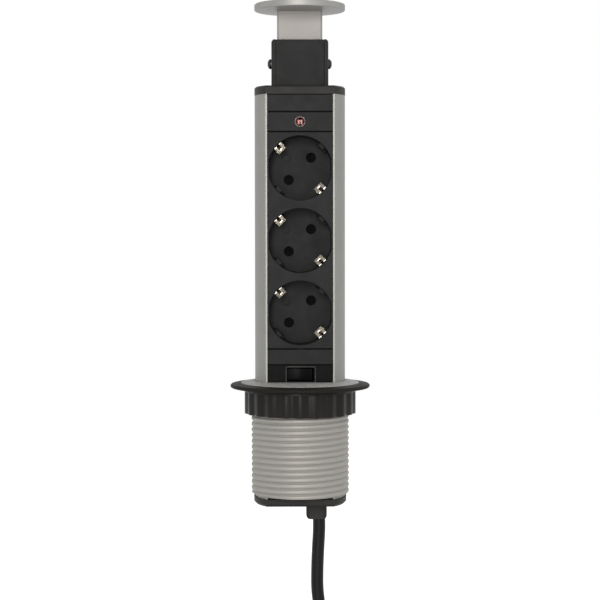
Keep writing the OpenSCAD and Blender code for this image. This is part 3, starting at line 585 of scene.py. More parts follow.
@dataclass(frozen=True)
class WovenTape(Finish):
    """Hook-and-loop tape of nylon yarn: a rough face of tiny loops, their tips painted paler as lit and the hollows
    between them darker as painted shade.

    Attributes:
        loop: size of a loop, drawn at twice its 0.3 mm.
        fuzz: strength of the sheen that loose fibres give.
    """

    loop: ClassVar[float] = 0.6 * MM
    fuzz: ClassVar[float] = 0.3
    depth = 0.25 * MM

    def mix(self, recipe: Recipe) -> None:
        """Cells stand for the loops, with sheen from their fibres.

        Args:
            recipe: the material's node tree.
        """
        cells = recipe.add("ShaderNodeTexVoronoi", {"Vector": recipe.place, "Scale": 1 / self.loop})
        loops = recipe.add("ShaderNodeMath", {0: 1.0, 1: cells}, operation="SUBTRACT")
        # Painted light: the loops' tips take the paler tone and the hollows between them the darker one.
        self.skin(recipe, loops, None, loops, {"Sheen Weight": self.fuzz})


# Pebbled ABS and nylon: soft blacks that light greys. The shutters' and the switch's blacks are the deepest, darkened
# as painted shade of the pin holes and of the switch's recess.
PANEL = MouldedPlastic("Pebbled ABS, panel black", "panel_plastic", "#171717", "#1B1B1C", 0.56, 0.14)
CAP = MouldedPlastic("Pebbled ABS, cap black", "cap_plastic", "#1E1D1C", "#23211F", 0.54, 0.18)
CARRIER = MouldedPlastic("Glass-filled nylon, carrier black", "carrier_plastic", "#1F1F1F", "#262626", 0.6)
# Painted shade: the shutters' black is darker than the panels' for the shade at the bottom of the pin holes.
SHUTTER_PAINTED_SHADE = MouldedPlastic("Acetal, shutter black", "shutter_plastic", "#040404", "#070707", 0.6, 0.04)
FLANGE = MouldedPlastic("Satin ABS, flange black", "flange_plastic", "#211F1D", "#272522", 0.5, 0.03)
NUT = MouldedPlastic("Satin nylon, nut black", "nut_plastic", "#13110F", "#191714", 0.36, 0.14)
# Partly painted shade: the switch's black is its own darker one, deepened further for the shade of the recess it sits
# in.
SWITCH_PAINTED_SHADE = MouldedPlastic("Satin nylon, switch black", "switch_plastic", "#040404", "#070707", 0.42, 0.05)
BEZEL = MouldedPlastic("Glossy nylon, bezel black", "switch_plastic", "#101010", "#151515", 0.34, 0.2)
# A polished paddle: as black, but it mirrors the room.
ROCKER = PolishedPlastic(
    "Polished polycarbonate, rocker black", "rocker_plastic", "#080808", "#0C0C0C", 0.32, 0.0, 0.04
)
# Extruded and etched: a grey satin with fine upright lines.
PROFILE = SatinAluminium("Anodised aluminium, extruded", "anodised_aluminium", "#82827E", "#8C8C88", 0.44)
# Bead-blasted strip: paler, matte and even, with round pits instead of die lines.
STRAP = SatinAluminium(
    "Anodised aluminium, blasted", "handle_aluminium", "#989591", "#918E8B", 0.56, 0.4, 0.5 * MM, 1.0
)
# Faced on a lathe: a highlight that the rings stretch across the rim.
DISC = TurnedSteel("Stainless steel, turned", "brushed_disc", "#858482", "#979694", 0.47)
# Metal flakes under lacquer and in the plastic: pale greys with a fine sparkle.
RING = SilverPlastic("Silver lacquer, flaked", "ring_paint", "#858585", "#B6B6B5", 0.5, 0.08, 0.6 * MM, 0.12)
BARREL = SilverPlastic("Silver-grey ABS, pigmented", "barrel_plastic", "#979590", "#9B9994", 0.56, 0.45, 0.9 * MM)
# Thin plating on stamped or drawn metal: bright, and dull where it is coated.
PLATED = PlatedMetal("Tinned brass, stamped", "plated_brass", "#E2DCD2", "#C9C0AE", 0.3)
SPRING = PlatedMetal("Spring steel, bright", "spring_steel", "#C4C4C4", "#B0B0B0", 0.3)
SCREW = PlatedMetal("Zinc-plated steel, blackened", "screw_steel", "#2E2E30", "#3A3A3C", 0.24, 1.0)
ELECTRODE = GlowingMetal("Nickel wire, coated", "electrode_metal", "#8A5A54", "#7C4E48", 0.5, 0.0)
# Clear plastic and thin tinted glass: the lamp shows through them.
LENS = PolishedPlastic("Polycarbonate, clear", "lens_plastic", "#B9A09C", "#AC908C", 0.16, 0.7, 0.4)
GLASS = PolishedPlastic("Lamp glass, red tint", "lamp_glass", "#C89490", "#BC8884", 0.07, 1.0, 0.3)
# Lacquer, PVC and rubber: waxy skins in the colours of their trade.
RESISTOR = RingedLacquer("Lacquered carbon film", "resistor_body", "#9A8260", "#5A2A1C", 0.38)
BROWN = SoftRubber("PVC insulation, brown", "wire_brown", "#6B4226", "#754B2E", 0.38)
BLACK = SoftRubber("PVC insulation, black", "wire_black", "#1C1C1C", "#242424", 0.38)
BLUE = SoftRubber("PVC insulation, blue", "wire_blue", "#2D5FA8", "#3568B2", 0.38)
EARTH = RingedLacquer(
    "PVC insulation, green and yellow", "wire_green_yellow", "#3F7A35", "#D8C22E", 0.38, 6 * MM, 0.4, Bands.WOUND
)
JACKET = SoftRubber("PVC jacket, black", "cord_jacket", "#090909", "#0E0E0E", 0.42)
PLUG = MouldedPlastic("Moulded PVC, plug black", "plug_plastic", "#1E1E1E", "#252525", 0.5)
BRAKE = SoftRubber("Silicone rubber, black", "brake_rubber", "#1B1B1B", "#222222", 0.6, 1.0)
TAPE = WovenTape("Nylon hook-and-loop tape", "carrier_plastic", "#101010", "#2B2B2B", 0.85)

# The CAD nodes of each finish
NODE_FINISHES: dict[Finish, tuple[str, ...]] = {
    PANEL: (
        "neck_plate", "blank_panel_upper", "indicator_panel", "socket_insert", "blank_panel_lower", "lower_front_panel",
    ),
    CAP: ("top_cap", "bottom_cap", "neck_block", "strain_relief"),
    CARRIER: ("socket_base", "base_cover", "cord_clamp"),
    SHUTTER_PAINTED_SHADE: ("shutter_1", "shutter_2", "shutter_3"),
    FLANGE: ("flange_ring",),
    NUT: ("thrust_washer", "clamp_nut"),
    SWITCH_PAINTED_SHADE: ("switch_panel", "switch_housing"),
    ROCKER: ("rocker",),
    PROFILE: ("tower_profile",),
    STRAP: ("handle_strap",),
    DISC: ("lid_disc",),
    RING: ("bezel_ring",),
    BARREL: ("threaded_barrel",),
    PLATED: (
        "line_busbar", "neutral_busbar", "earth_clips", "earth_bar", "switch_terminals", "plug_pins", "plug_contacts",
    ),
    SPRING: ("shutter_springs",),
    SCREW: ("cap_screws", "strap_screws", "clamp_screws"),
    ELECTRODE: ("lamp_electrodes",),
    LENS: ("lamp_lens",),
    GLASS: ("lamp_bulb",),
    RESISTOR: ("lamp_resistor",),
    BROWN: ("line_wire",),
    BLACK: ("switched_wire",),
    BLUE: ("neutral_wire",),
    EARTH: ("earth_wire",),
    JACKET: ("cord_tail", "cord", "cord_hank", "cord_lead"),
    PLUG: ("plug_body",),
    BRAKE: ("friction_ring",),
    TAPE: ("hank_tie",),
}


class Bench:
    """Modelling moves, made with Blender's own operators."""

    @staticmethod
    def clear() -> None:
        """Leaves edit mode and selects nothing."""
        if bpy.context.object is not None and bpy.context.object.mode != "OBJECT":
            bpy.ops.object.mode_set(mode="OBJECT")
        bpy.ops.object.select_all(action="DESELECT")

    @classmethod
    def cylinder(cls, name: str, radius: float, low: Vector, height: float, sides: int = 96) -> bpy.types.Object:
        """Adds an upright cylinder.

        Args:
            name: name of the piece.
            radius: its radius.
            low: middle of its lower end.
            height: its height.
            sides: facets round it.

        Returns:
            The new object.
        """
        cls.clear()
        bpy.ops.mesh.primitive_cylinder_add(
            vertices=sides, radius=radius, depth=height, location=low + Vector((0, 0, height / 2))
        )
        return cls.named(name)

    @classmethod
    def block(cls, name: str, low: Vector, high: Vector) -> bpy.types.Object:
        """Adds a block between two corners.

        Args:
            name: name of the piece.
            low, high: the corners.

        Returns:
            The new object.
        """
        cls.clear()
        bpy.ops.mesh.primitive_cube_add(size=1, location=(low + high) / 2, scale=high - low)
        return cls.named(name)

    @classmethod
    def outline(cls, name: str, points: Sequence[tuple[float, float]]) -> bpy.types.Object:
        """Adds a ring of edges and lays its vertices along a section in the XZ plane.

        Args:
            name: name of the piece.
            points: the closed section as distance from the axis and height.

        Returns:
            The new object.
        """
        cls.clear()
        bpy.ops.mesh.primitive_circle_add(vertices=len(points), radius=1)
        piece = cls.named(name)
        for vertex, (reach, height) in zip(piece.data.vertices, points):
            vertex.co = (reach, 0, height)
        return piece

    @staticmethod
    def named(name: str) -> bpy.types.Object:
        """Names the object that an operator just added, and settles its place in its mesh.

        Args:
            name: name of the piece.

        Returns:
            The new object.
        """
        piece = bpy.context.object
        piece.name = piece.data.name = name
        bpy.ops.object.transform_apply(location=True, rotation=True, scale=True)
        return piece

    @classmethod
    def take(cls, piece: bpy.types.Object, others: Iterable[bpy.types.Object] = ()) -> None:
        """Selects a piece in object mode and makes it the active one.

        Args:
            piece: the piece.
            others: what is selected with it.
        """
        cls.clear()
        for each in (*others, piece):
            each.select_set(True)
        bpy.context.view_layer.objects.active = piece

    @classmethod
    def settle(cls, piece: bpy.types.Object, place: Sequence[float], turn: Sequence[float]) -> None:
        """Turns a piece about the origin, moves it and settles its place in its mesh.

        Args:
            piece: the piece.
            place: where its origin goes.
            turn: degrees round X, Y and Z.
        """
        cls.take(piece)
        piece.rotation_euler = [math.radians(angle) for angle in turn]
        piece.location = place
        bpy.ops.object.transform_apply(location=True, rotation=True, scale=True)

    @classmethod
    def edit(cls, piece: bpy.types.Object) -> None:
        """Opens a piece in edit mode with nothing selected.

        Args:
            piece: the piece.
        """
        cls.take(piece)
        bpy.ops.object.mode_set(mode="EDIT")
        bpy.ops.mesh.select_all(action="DESELECT")

    @staticmethod
    def pick(kind: Part, test: Callable[[object], bool]) -> None:
        """Selects the edges or faces in edit mode that pass a test.

        Args:
            kind: edges or faces.
            test: what each one has to pass.
        """
        bpy.ops.mesh.select_mode(type=kind.name)
        bpy.ops.mesh.select_all(action="DESELECT")
        mesh = bmesh.from_edit_mesh(bpy.context.object.data)
        for item in getattr(mesh, kind.value):
            if test(item):
                item.select_set(True)
        bmesh.update_edit_mesh(bpy.context.object.data)

    @staticmethod
    def span(edge: bmesh.types.BMEdge, axis: int) -> float:
        """Distance between an edge's ends along X (0), Y (1) or Z (2)."""
        return abs(edge.verts[0].co[axis] - edge.verts[1].co[axis])

    @classmethod
    def round_off(cls, piece: bpy.types.Object, test: Callable[[object], bool], radius: float, segments: int) -> None:
        """Rounds the edges of a piece that pass a test.

        Args:
            piece: the piece.
            test: what each edge has to pass.
            radius: width of the rounding.
            segments: facets across it.
        """
        cls.edit(piece)
        cls.pick(Part.EDGE, test)
        bpy.ops.mesh.bevel(offset=radius, segments=segments, affect="EDGES")
        cls.clear()

    @classmethod
    def turn(cls, piece: bpy.types.Object, sides: int) -> None:
        """Spins the piece's section all the way round Z and closes the result.

        Args:
            piece: the section.
            sides: facets round it.
        """
        cls.edit(piece)
        bpy.ops.mesh.select_all(action="SELECT")
        bpy.ops.mesh.spin(steps=sides, angle=math.tau, center=(0, 0, 0), axis=(0, 0, 1))
        cls.close(piece)

    @classmethod
    def close(cls, piece: bpy.types.Object) -> None:
        """Merges doubles, drops collapsed faces and turns every face outwards.

        Args:
            piece: the piece.
        """
        cls.edit(piece)
        bpy.ops.mesh.select_all(action="SELECT")
        bpy.ops.mesh.remove_doubles(threshold=HAIR / 5)
        bpy.ops.mesh.dissolve_degenerate(threshold=HAIR / 5)
        bpy.ops.mesh.select_all(action="SELECT")
        bpy.ops.mesh.normals_make_consistent(inside=False)
        cls.clear()

    @classmethod
    def apply(cls, piece: bpy.types.Object) -> None:
        """Applies every modifier of a piece in turn.

        Args:
            piece: the piece.
        """
        cls.take(piece)
        for modifier in list(piece.modifiers):
            bpy.ops.object.modifier_apply(modifier=modifier.name)

    @classmethod
    def carve(cls, piece: bpy.types.Object, tool: bpy.types.Object, how: Cut = Cut.AWAY) -> None:
        """Cuts a tool out of a piece, or joins it on, and removes the tool.

        Args:
            piece: the piece.
            tool: the tool.
            how: away from the piece or onto it.
        """
        change = piece.modifiers.new("carve", "BOOLEAN")
        change.object, change.operation, change.solver = tool, how.value, "EXACT"
        cls.apply(piece)
        bpy.data.objects.remove(tool)

    @classmethod
    def join(cls, piece: bpy.types.Object, others: Iterable[bpy.types.Object]) -> None:
        """Makes other objects part of a piece's mesh."""
        cls.take(piece, others)
        bpy.ops.object.join()

    @classmethod
    def smooth(cls, piece: bpy.types.Object, degrees: float = 35) -> None:
        """Shades a piece smooth, apart from the edges sharper than an angle in degrees."""
        cls.take(piece)
        bpy.ops.object.shade_smooth_by_angle(angle=math.radians(degrees))

    @classmethod
    def fit(cls, piece: bpy.types.Object, body: Body, finish: Finish, *nodes: str) -> None:
        """Finishes a piece and puts it in place of CAD nodes.

        Args:
            piece: the finished mesh or curve.
            body: the CAD body that it rides on.
            finish: its finish.
            nodes: the CAD nodes that it replaces.
        """
        finish.coat(piece)
        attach(piece, body.value)
        if nodes:
            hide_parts(*nodes)
        LOG.info("%s stands for %s", piece.name, ", ".join(nodes) or "no CAD node")


@dataclass
class PhotoCamera:
    """The camera that took the photograph, found from the tower's known sizes.

    Attributes:
        distance: from the tower's axis.
        height: over the worktop's top face.
        side: its place along X; less than 0 is left of the tower.
        down: degrees that it looks down.
        roll: degrees that its picture is turned.
        lens: focal length on a sensor of 36 mm.
    """

    distance: float = 1.0422
    height: float = 0.0988
    side: float = -0.009
    down: float = 2.504
    roll: float = -0.07
    lens: float = 103.43

    def build(self) -> None:
        """Adds the camera and makes it the scene's camera."""
        data = bpy.data.cameras.new("photo_camera")
        data.lens, data.sensor_width, data.sensor_fit = self.lens, 36.0, "HORIZONTAL"
        data.clip_start, data.clip_end = 0.05, 20.0
        camera = bpy.data.objects.new("photo_camera", data)
        bpy.context.scene.collection.objects.link(camera)
        camera.location = (self.side, -self.distance, self.height)
        heading = math.atan2(-self.side, self.distance)
        aim = Matrix.Rotation(-heading, 4, "Z") @ Matrix.Rotation(math.radians(90 - self.down), 4, "X")
        camera.rotation_euler = (aim @ Matrix.Rotation(math.radians(self.roll), 4, "Z")).to_euler()
        bpy.context.scene.camera = camera


@dataclass
class MainsLead:
    """The cord: out of the strain relief, folded in a hank under the tower, down to its plug.

    The route repeats the CAD source's points.

    Attributes:
        radius: the cord's radius.
        exit_x, exit_z: where it leaves the strain relief.
        bend: least bend radius of the free stretches.
        fold_in, fold_out: radii of the hank's inner and outer folds.
        layers: laps of the hank, one a layer.
        layer_step: distance from layer to layer.
        draw, waist: how far and how high the tie draws the runs in.
        run: half length of a straight run.
        stub, gap: straight bits over the turn towards the hank and under it.
        lap_points: points in each lap.
        bow: points of the first stretch in mm, sideways and down from the strain relief.
        fall: height of that stretch.
        sunk: how far the cord goes into the plug.
    """

    radius: float = 3.8 * MM
    exit_x: float = 11.45 * MM
    exit_z: float = -79.3 * MM
    bend: float = 30.4 * MM
    fold_in: float = 22.8 * MM
    fold_out: float = 32 * MM
    layers: int = 6
    layer_step: float = 8.2 * MM
    draw: float = 4 * MM
    waist: float = 17 * MM
    run: float = 29 * MM
    stub: float = 1 * MM
    gap: float = 10 * MM
    lap_points: int = 32
    bow: tuple[tuple[float, float], ...] = ((0, 0), (0, 7), (-0.6, 19), (-1.1, 32), (-1, 44), (-0.1, 53))
    fall: float = 57 * MM
    sunk: float = 9 * MM

    @property
    def free_end(self) -> float:
        """Height at which the free stretch turns towards the hank."""
        return self.exit_z - self.fall - self.stub

    @property
    def aside(self) -> Vector:
        """How far the cord moves sideways to the hank's first run."""
        return Vector((self.fold_out - self.exit_x, -self.half_depth))

    @property
    def drop(self) -> float:
        """Height of the S-bend that moves it there at the least bend radius."""
        return math.sqrt(4 * self.bend * self.aside.length - self.aside.length**2)

    @property
    def middle(self) -> float:
        """Height of the hank's middle."""
        return self.free_end - self.drop - self.gap - self.run

    @property
    def half_depth(self) -> float:
        """Distance of the outermost layers from the hank's middle."""
        return self.layer_step * (self.layers - 1) / 2

    def drawn(self, rise: float) -> float:
        """How far the tie draws a run towards the middle at a height over it."""
        return self.draw * math.exp(-((rise / self.waist) ** 2))

    def lap(self, turn: float) -> Vector:
        """Finds a point of the hank.

        Args:
            turn: laps from the hank's start.

        Returns:
            The point.
        """
        inward = 1 - abs(turn % 2 - 1)
        half = self.fold_out - (self.fold_out - self.fold_in) * inward
        quarter = (turn % 1) * 4
        side = int(quarter)
        along = quarter - side if side % 2 == 0 else 1 - (quarter - side)
        bend = max(0.0, along - 0.5) * math.pi
        across = half if along < 0.5 else half * math.cos(bend)
        rise = self.run * along / 0.5 if along < 0.5 else self.run + half * math.sin(bend)
        x = across if side in (0, 3) else -across
        z = -rise if side < 2 else rise
        nearest = math.floor(turn + 0.5)
        part = min(max((turn - nearest) * 2 + 0.5, 0.0), 1.0)
        passed = nearest - 1 + part * part * (3 - 2 * part)
        y = self.layer_step * min(max(passed, 0), self.layers - 1) - self.half_depth
        x -= math.copysign(min(self.drawn(z), abs(x)), x) if x else 0.0
        return Vector((x, y, self.middle + z))

    def route(self) -> list[Vector]:
        """Lists the points of the cord.

        Returns:
            Its middle line from the strain relief to the plug.
        """
        free = [Vector((self.exit_x + x * MM, 0, self.exit_z - z * MM)) for x, z in self.bow]
        aside, drop = self.aside, self.drop
        lead_in = []
        for i in range(9):
            u = i / 8
            v = u if u < 0.5 else 1 - u
            arc = (self.bend - math.sqrt(self.bend**2 - (drop * v) ** 2)) / aside.length
            share = arc if u < 0.5 else 1 - arc
            lead_in.append(Vector((self.exit_x + aside.x * share, aside.y * share, self.free_end - drop * u)))
        for share in (1, 0.75, 0.5, 0.25):
            rise = self.run * share
            lead_in.append(Vector((self.fold_out - self.drawn(rise), -self.half_depth, self.middle + rise)))
        lead_out = [Vector((p.x, -p.y, 2 * self.middle - p.z)) for p in reversed(lead_in)]
        laps = [self.lap(i / self.lap_points) for i in range(self.layers * self.lap_points)]
        laps.append(Vector((self.fold_out - self.draw, self.half_depth, self.middle)))
        end = lead_out[-1] - Vector((0, 0, self.sunk))
        return free + lead_in + laps + lead_out + [end]

    def build_cord(self) -> bpy.types.Object:
        """Lays the cord as one smooth curve along the route.

        Returns:
            The curve.
        """
        points = self.route()
        curve = bpy.data.curves.new("mains_cord", "CURVE")
        curve.dimensions, curve.use_fill_caps = "3D", True
        curve.bevel_depth, curve.bevel_resolution, curve.resolution_u = self.radius, 6, 5
        spline = curve.splines.new("BEZIER")
        spline.bezier_points.add(len(points) - 1)
        for knot, place in zip(spline.bezier_points, points):
            knot.co = place
            knot.handle_left_type = knot.handle_right_type = "AUTO"
        cord = bpy.data.objects.new("mains_cord", curve)
        bpy.context.scene.collection.objects.link(cord)
        return cord

    def build_tie(self) -> bpy.types.Object:
        """Wraps a band of hook-and-loop tape round the hank's waist, its end lapped over in front.

        Returns:
            The band with its end.
        """
        low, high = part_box("hank_tie")
        corner, thick, lapped = 3.6 * MM, 1.4 * MM, 0.3 * MM
        band = Bench.block("hank_tie_tape", low, high)
        Bench.round_off(band, lambda e: Bench.span(e, 2) > MM, corner, 6)
        Bench.edit(band)
        Bench.pick(Part.FACE, lambda f: abs(f.normal.z) > FACING)
        bpy.ops.mesh.delete(type="FACE")
        Bench.clear()
        wall = band.modifiers.new("wall", "SOLIDIFY")
        wall.thickness, wall.offset = thick, -1.0
        Bench.apply(band)
        end = Bench.block(
            "tape_end",
            Vector((low.x + 5 * MM, low.y + 0.02 * MM, low.z + lapped)),
            Vector((high.x - 9 * MM, low.y + lapped, high.z - lapped)),
        )
        Bench.round_off(end, lambda e: Bench.span(e, 1) > 0.1 * MM and e.verts[0].co.x > 0, 2.5 * MM, 5)
        Bench.join(band, [end])
        Bench.smooth(band)
        return band

    def build(self) -> None:
        cord = self.build_cord()
        Bench.fit(cord, Body.TOWER, JACKET, "cord", "cord_hank", "cord_lead")
        tie = self.build_tie()
        Bench.fit(tie, Body.TOWER, TAPE, "hank_tie")


@dataclass
class Collar:
    """The part that stays in the worktop: flange, ring, threaded barrel, washer and nut.

    Attributes:
        crest, root: radii over the thread and at its root.
        bore: radius of the barrel's bore.
        lead: advance of the right-handed thread in a turn.
        low, high: heights of the barrel's ends.
        start: height at the lower end that is turned down to the root.
        grip: radius over the nut's ribs.
        flute: depth of the hollows between them.
        ribs, facets: number of ribs, and facets in each.
        full: how full a rib is; 1 is a plain wave, and less is fuller.
        arris: rounding of the nut's ends.
        plain: height of the plain band over the ribs.
        play: gap between the nut and the thread.
        seat: radius and depth of the recess for the washer.
    """

    crest: float = 29.6 * MM
    root: float = 28.6 * MM
    bore: float = 27.6 * MM
    lead: float = 3.5 * MM
    low: float = -63.8 * MM
    high: float = 0.6 * MM
    start: float = 0.8 * MM
    grip: float = 33.8 * MM
    flute: float = 1.15 * MM
    ribs: int = 22
    facets: int = 16
    full: float = 0.8
    arris: float = 0.5 * MM
    plain: float = 1.3 * MM
    play: float = 0.3 * MM
    seat: tuple[float, float] = (31.95 * MM, 1.0 * MM)

    def build_nut(self) -> bpy.types.Object:
        """Extrudes a scalloped outline, rounds its ends and bores it out for thread and washer.

        Returns:
            The nut.
        """
        low, high = (corner.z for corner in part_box("clamp_nut"))
        nut = Bench.cylinder("ribbed_nut", self.grip, Vector((0, 0, low)), high - low, self.ribs * self.facets)
        for vertex in nut.data.vertices:
            turn = math.atan2(vertex.co.y, vertex.co.x) * self.ribs + math.pi
            rib = (0.5 + 0.5 * math.cos(turn)) ** self.full
            reach = self.grip - self.flute * (1 - rib)
            vertex.co.x, vertex.co.y = Vector((vertex.co.x, vertex.co.y)).normalized() * reach
        Bench.round_off(nut, lambda e: Bench.span(e, 2) < 0.1 * MM, self.arris, 3)
        foot = Vector((0, 0, high - self.plain))
        band = Bench.cylinder("nut_band", self.grip - 0.05 * MM, foot, self.plain, 8 * self.ribs)
        Bench.carve(nut, band, Cut.ONTO)
        reach, deep = self.seat
        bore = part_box("threaded_barrel")[1].x + self.play
        Bench.carve(nut, Bench.cylinder("nut_bore", bore, Vector((0, 0, low - MM)), 20 * MM, FINE))
        Bench.carve(nut, Bench.cylinder("washer_seat", reach, Vector((0, 0, high - deep)), 4 * MM, FINE))
        Bench.smooth(nut, 40)
        return nut

    def build_barrel(self) -> bpy.types.Object:
        """Screws one pitch of thread section up the barrel, cuts the ends square and bores it.

        Returns:
            The barrel.
        """
        turns = math.ceil((self.high - self.low) / self.lead) + 3
        foot = self.low - 2 * self.lead
        # A rounded ridge with a narrow root: share of the thread's depth at heights in mm
        section = (
            (0.0, 0.0), (0.1, 0.22), (0.5, 0.55), (0.82, 0.95), (0.96, 1.35), (1.0, 1.8),
            (0.96, 2.25), (0.82, 2.65), (0.5, 3.0), (0.1, 3.3), (0.0, 3.5),
        )
        deep = self.crest - self.root
        barrel = Bench.outline("threaded_barrel_cut", [(self.root + deep * r, foot + h * MM) for r, h in section])
        Bench.edit(barrel)
        Bench.pick(Part.EDGE, lambda e: Bench.span(e, 2) > 3 * MM)
        bpy.ops.mesh.delete(type="EDGE")
        Bench.clear()
        winding = barrel.modifiers.new("winding", "SCREW")
        winding.axis, winding.angle, winding.screw_offset = "Z", math.tau, self.lead
        winding.iterations, winding.steps, winding.render_steps = turns, 96, 96
        winding.use_merge_vertices, winding.merge_threshold = True, HAIR
        Bench.apply(barrel)
        Bench.edit(barrel)
        bpy.ops.mesh.select_all(action="SELECT")
        bpy.ops.mesh.remove_doubles(threshold=HAIR / 2)
        for height, above in ((self.high, True), (self.low, False)):
            bpy.ops.mesh.select_all(action="SELECT")
            bpy.ops.mesh.bisect(
                plane_co=(0, 0, height), plane_no=(0, 0, 1), use_fill=True, clear_outer=above, clear_inner=not above
            )
        Bench.close(barrel)
        under = self.low - MM
        ring = Bench.cylinder("ring", self.root + 2 * MM, Vector((0, 0, under)), MM + self.start)
        Bench.carve(ring, Bench.cylinder("ring_core", self.root, Vector((0, 0, under - MM)), 4 * MM, FINE))
        Bench.carve(barrel, ring)
        bore = Bench.cylinder("bore", self.bore, Vector((0, 0, under)), self.high - self.low + 2 * MM, FINE)
        Bench.carve(barrel, bore)
        Bench.smooth(barrel, 50)
        return barrel

    def build(self) -> None:
        """Replaces the CAD barrel and nut by the threaded and the scalloped one."""
        Bench.fit(self.build_barrel(), Body.COLLAR, BARREL, "threaded_barrel")
        Bench.fit(self.build_nut(), Body.NUT, NUT, "clamp_nut")


@dataclass
class Handle:
    """The pull handle's two round-headed screws.

    Attributes:
        cheek: distance of the neck's cheeks from the axis.
        height: the screws' height.
        head: radius of a head.
        proud: how far a head stands out.
        rim: share of that which is the head's upright edge.
        shank: radius and length of the shank.
        drive: radius and depth of the hexagon recess.
    """

    cheek: float = 17 * MM
    height: float = 195.2 * MM
    head: float = 3 * MM
    proud: float = 2.4 * MM
    rim: float = 0.25
    shank: tuple[float, float] = (1.25 * MM, 9.5 * MM)
    drive: tuple[float, float] = (1.2 * MM, 1.1 * MM)

    def build_screw(self, side: int) -> bpy.types.Object:
        """Turns a domed head with its shank and sinks a hexagon into it.

        Args:
            side: -1 for the left screw, 1 for the right one.

        Returns:
            The screw.
        """
        step = 10  # degrees from point to point of the dome
        full = self.head / math.cos(math.radians(step))
        section = [(0.0, self.proud)]
        for angle in (math.radians(d) for d in range(90 - step, 0, -step)):
            section.append((full * math.cos(angle), self.proud * (self.rim + (1 - self.rim) * math.sin(angle))))
        reach, deep = self.shank
        section += [(self.head, 0.0), (reach, 0.0), (reach, -deep), (0.0, -deep)]
        screw = Bench.outline(f"strap_screw_{'right' if side > 0 else 'left'}", section)
        Bench.turn(screw, 48)
        reach, deep = self.drive
        Bench.carve(screw, Bench.cylinder("drive", reach, Vector((0, 0, self.proud - deep)), 3 * MM, 6))
        Bench.smooth(screw)
        Bench.settle(screw, (side * self.cheek, 0, self.height), (0, 90 * side, 0))
        return screw

    def build(self) -> None:
        """Adds both screws in place of the CAD ones."""
        for side in (-1, 1):
            Bench.fit(self.build_screw(side), Body.TOWER, SCREW, "strap_screws")


@dataclass
class RockerSwitch:
    """The switch's rocker: a glossy paddle with two hollowed halves, its left end pressed in.

    Attributes:
        length, height: size of the paddle.
        pivot: place of its axis.
        crown: how far the middle of its face stands in front of the axis.
        tilt: degrees of each half.
        back: how far it reaches behind the axis.
        pin: radius of its pivot pins.
        slices: slices across the face that its hollows are shaped by.
        straight, curl: share of a half's slope that is straight, and power of the rest.
        soft: rounding of the face's edges.
    """

    length: float = 15 * MM
    height: float = 7.2 * MM
    pivot: tuple[float, float, float] = (0.0, -13.5 * MM, 9.5 * MM)
    crown: float = 2.1 * MM
    tilt: float = 8.0
    back: float = 1.6 * MM
    pin: float = 1.2 * MM
    slices: int = 20
    straight: float = 0.35
    curl: float = 2.2
    soft: float = 0.45 * MM

    def face_edge(self, edge: bmesh.types.BMEdge) -> bool:
        """Tells whether an edge is a sharp one of the paddle's face."""
        on_face = all(v.co.y < -self.crown + HAIR for v in edge.verts)
        return on_face and len(edge.link_faces) == 2 and edge.calc_face_angle(0.0) > SHARP

    def build_paddle(self) -> bpy.types.Object:
        """Shapes the paddle from a block: the face is hollowed on both sides of a soft ridge.

        Returns:
            The paddle with its pivot pins.
        """
        half = self.length / 2
        lift = half * math.tan(math.radians(self.tilt))
        low = Vector((-half, -self.crown - lift, -self.height / 2))
        high = Vector((half, self.back, self.height / 2))
        paddle = Bench.block("rocker_paddle", low, high)
        Bench.edit(paddle)
        for i in range(1, self.slices):
            bpy.ops.mesh.select_all(action="SELECT")
            bpy.ops.mesh.bisect(plane_co=(-half + self.length * i / self.slices, 0, 0), plane_no=(1, 0, 0))
        Bench.clear()
        for vertex in paddle.data.vertices:
            if vertex.co.y < 0:
                share = abs(vertex.co.x) / half
                slope = self.straight * share + (1 - self.straight) * share**self.curl
                vertex.co.y = -self.crown - lift * slope
        Bench.round_off(paddle, self.face_edge, self.soft, 4)
        for side in (-1, 1):
            foot = side * (self.height / 2 + 0.4 * MM) - 0.5 * MM
            Bench.carve(paddle, Bench.cylinder("pin", self.pin, Vector((0, 0, foot)), MM, 32), Cut.ONTO)
        Bench.smooth(paddle, 40)
        Bench.settle(paddle, self.pivot, (0, 0, -self.tilt))
        return paddle

    def build(self) -> None:
        """Puts the paddle in place of the CAD rocker."""
        Bench.fit(self.build_paddle(), Body.ROCKER, ROCKER, "rocker")


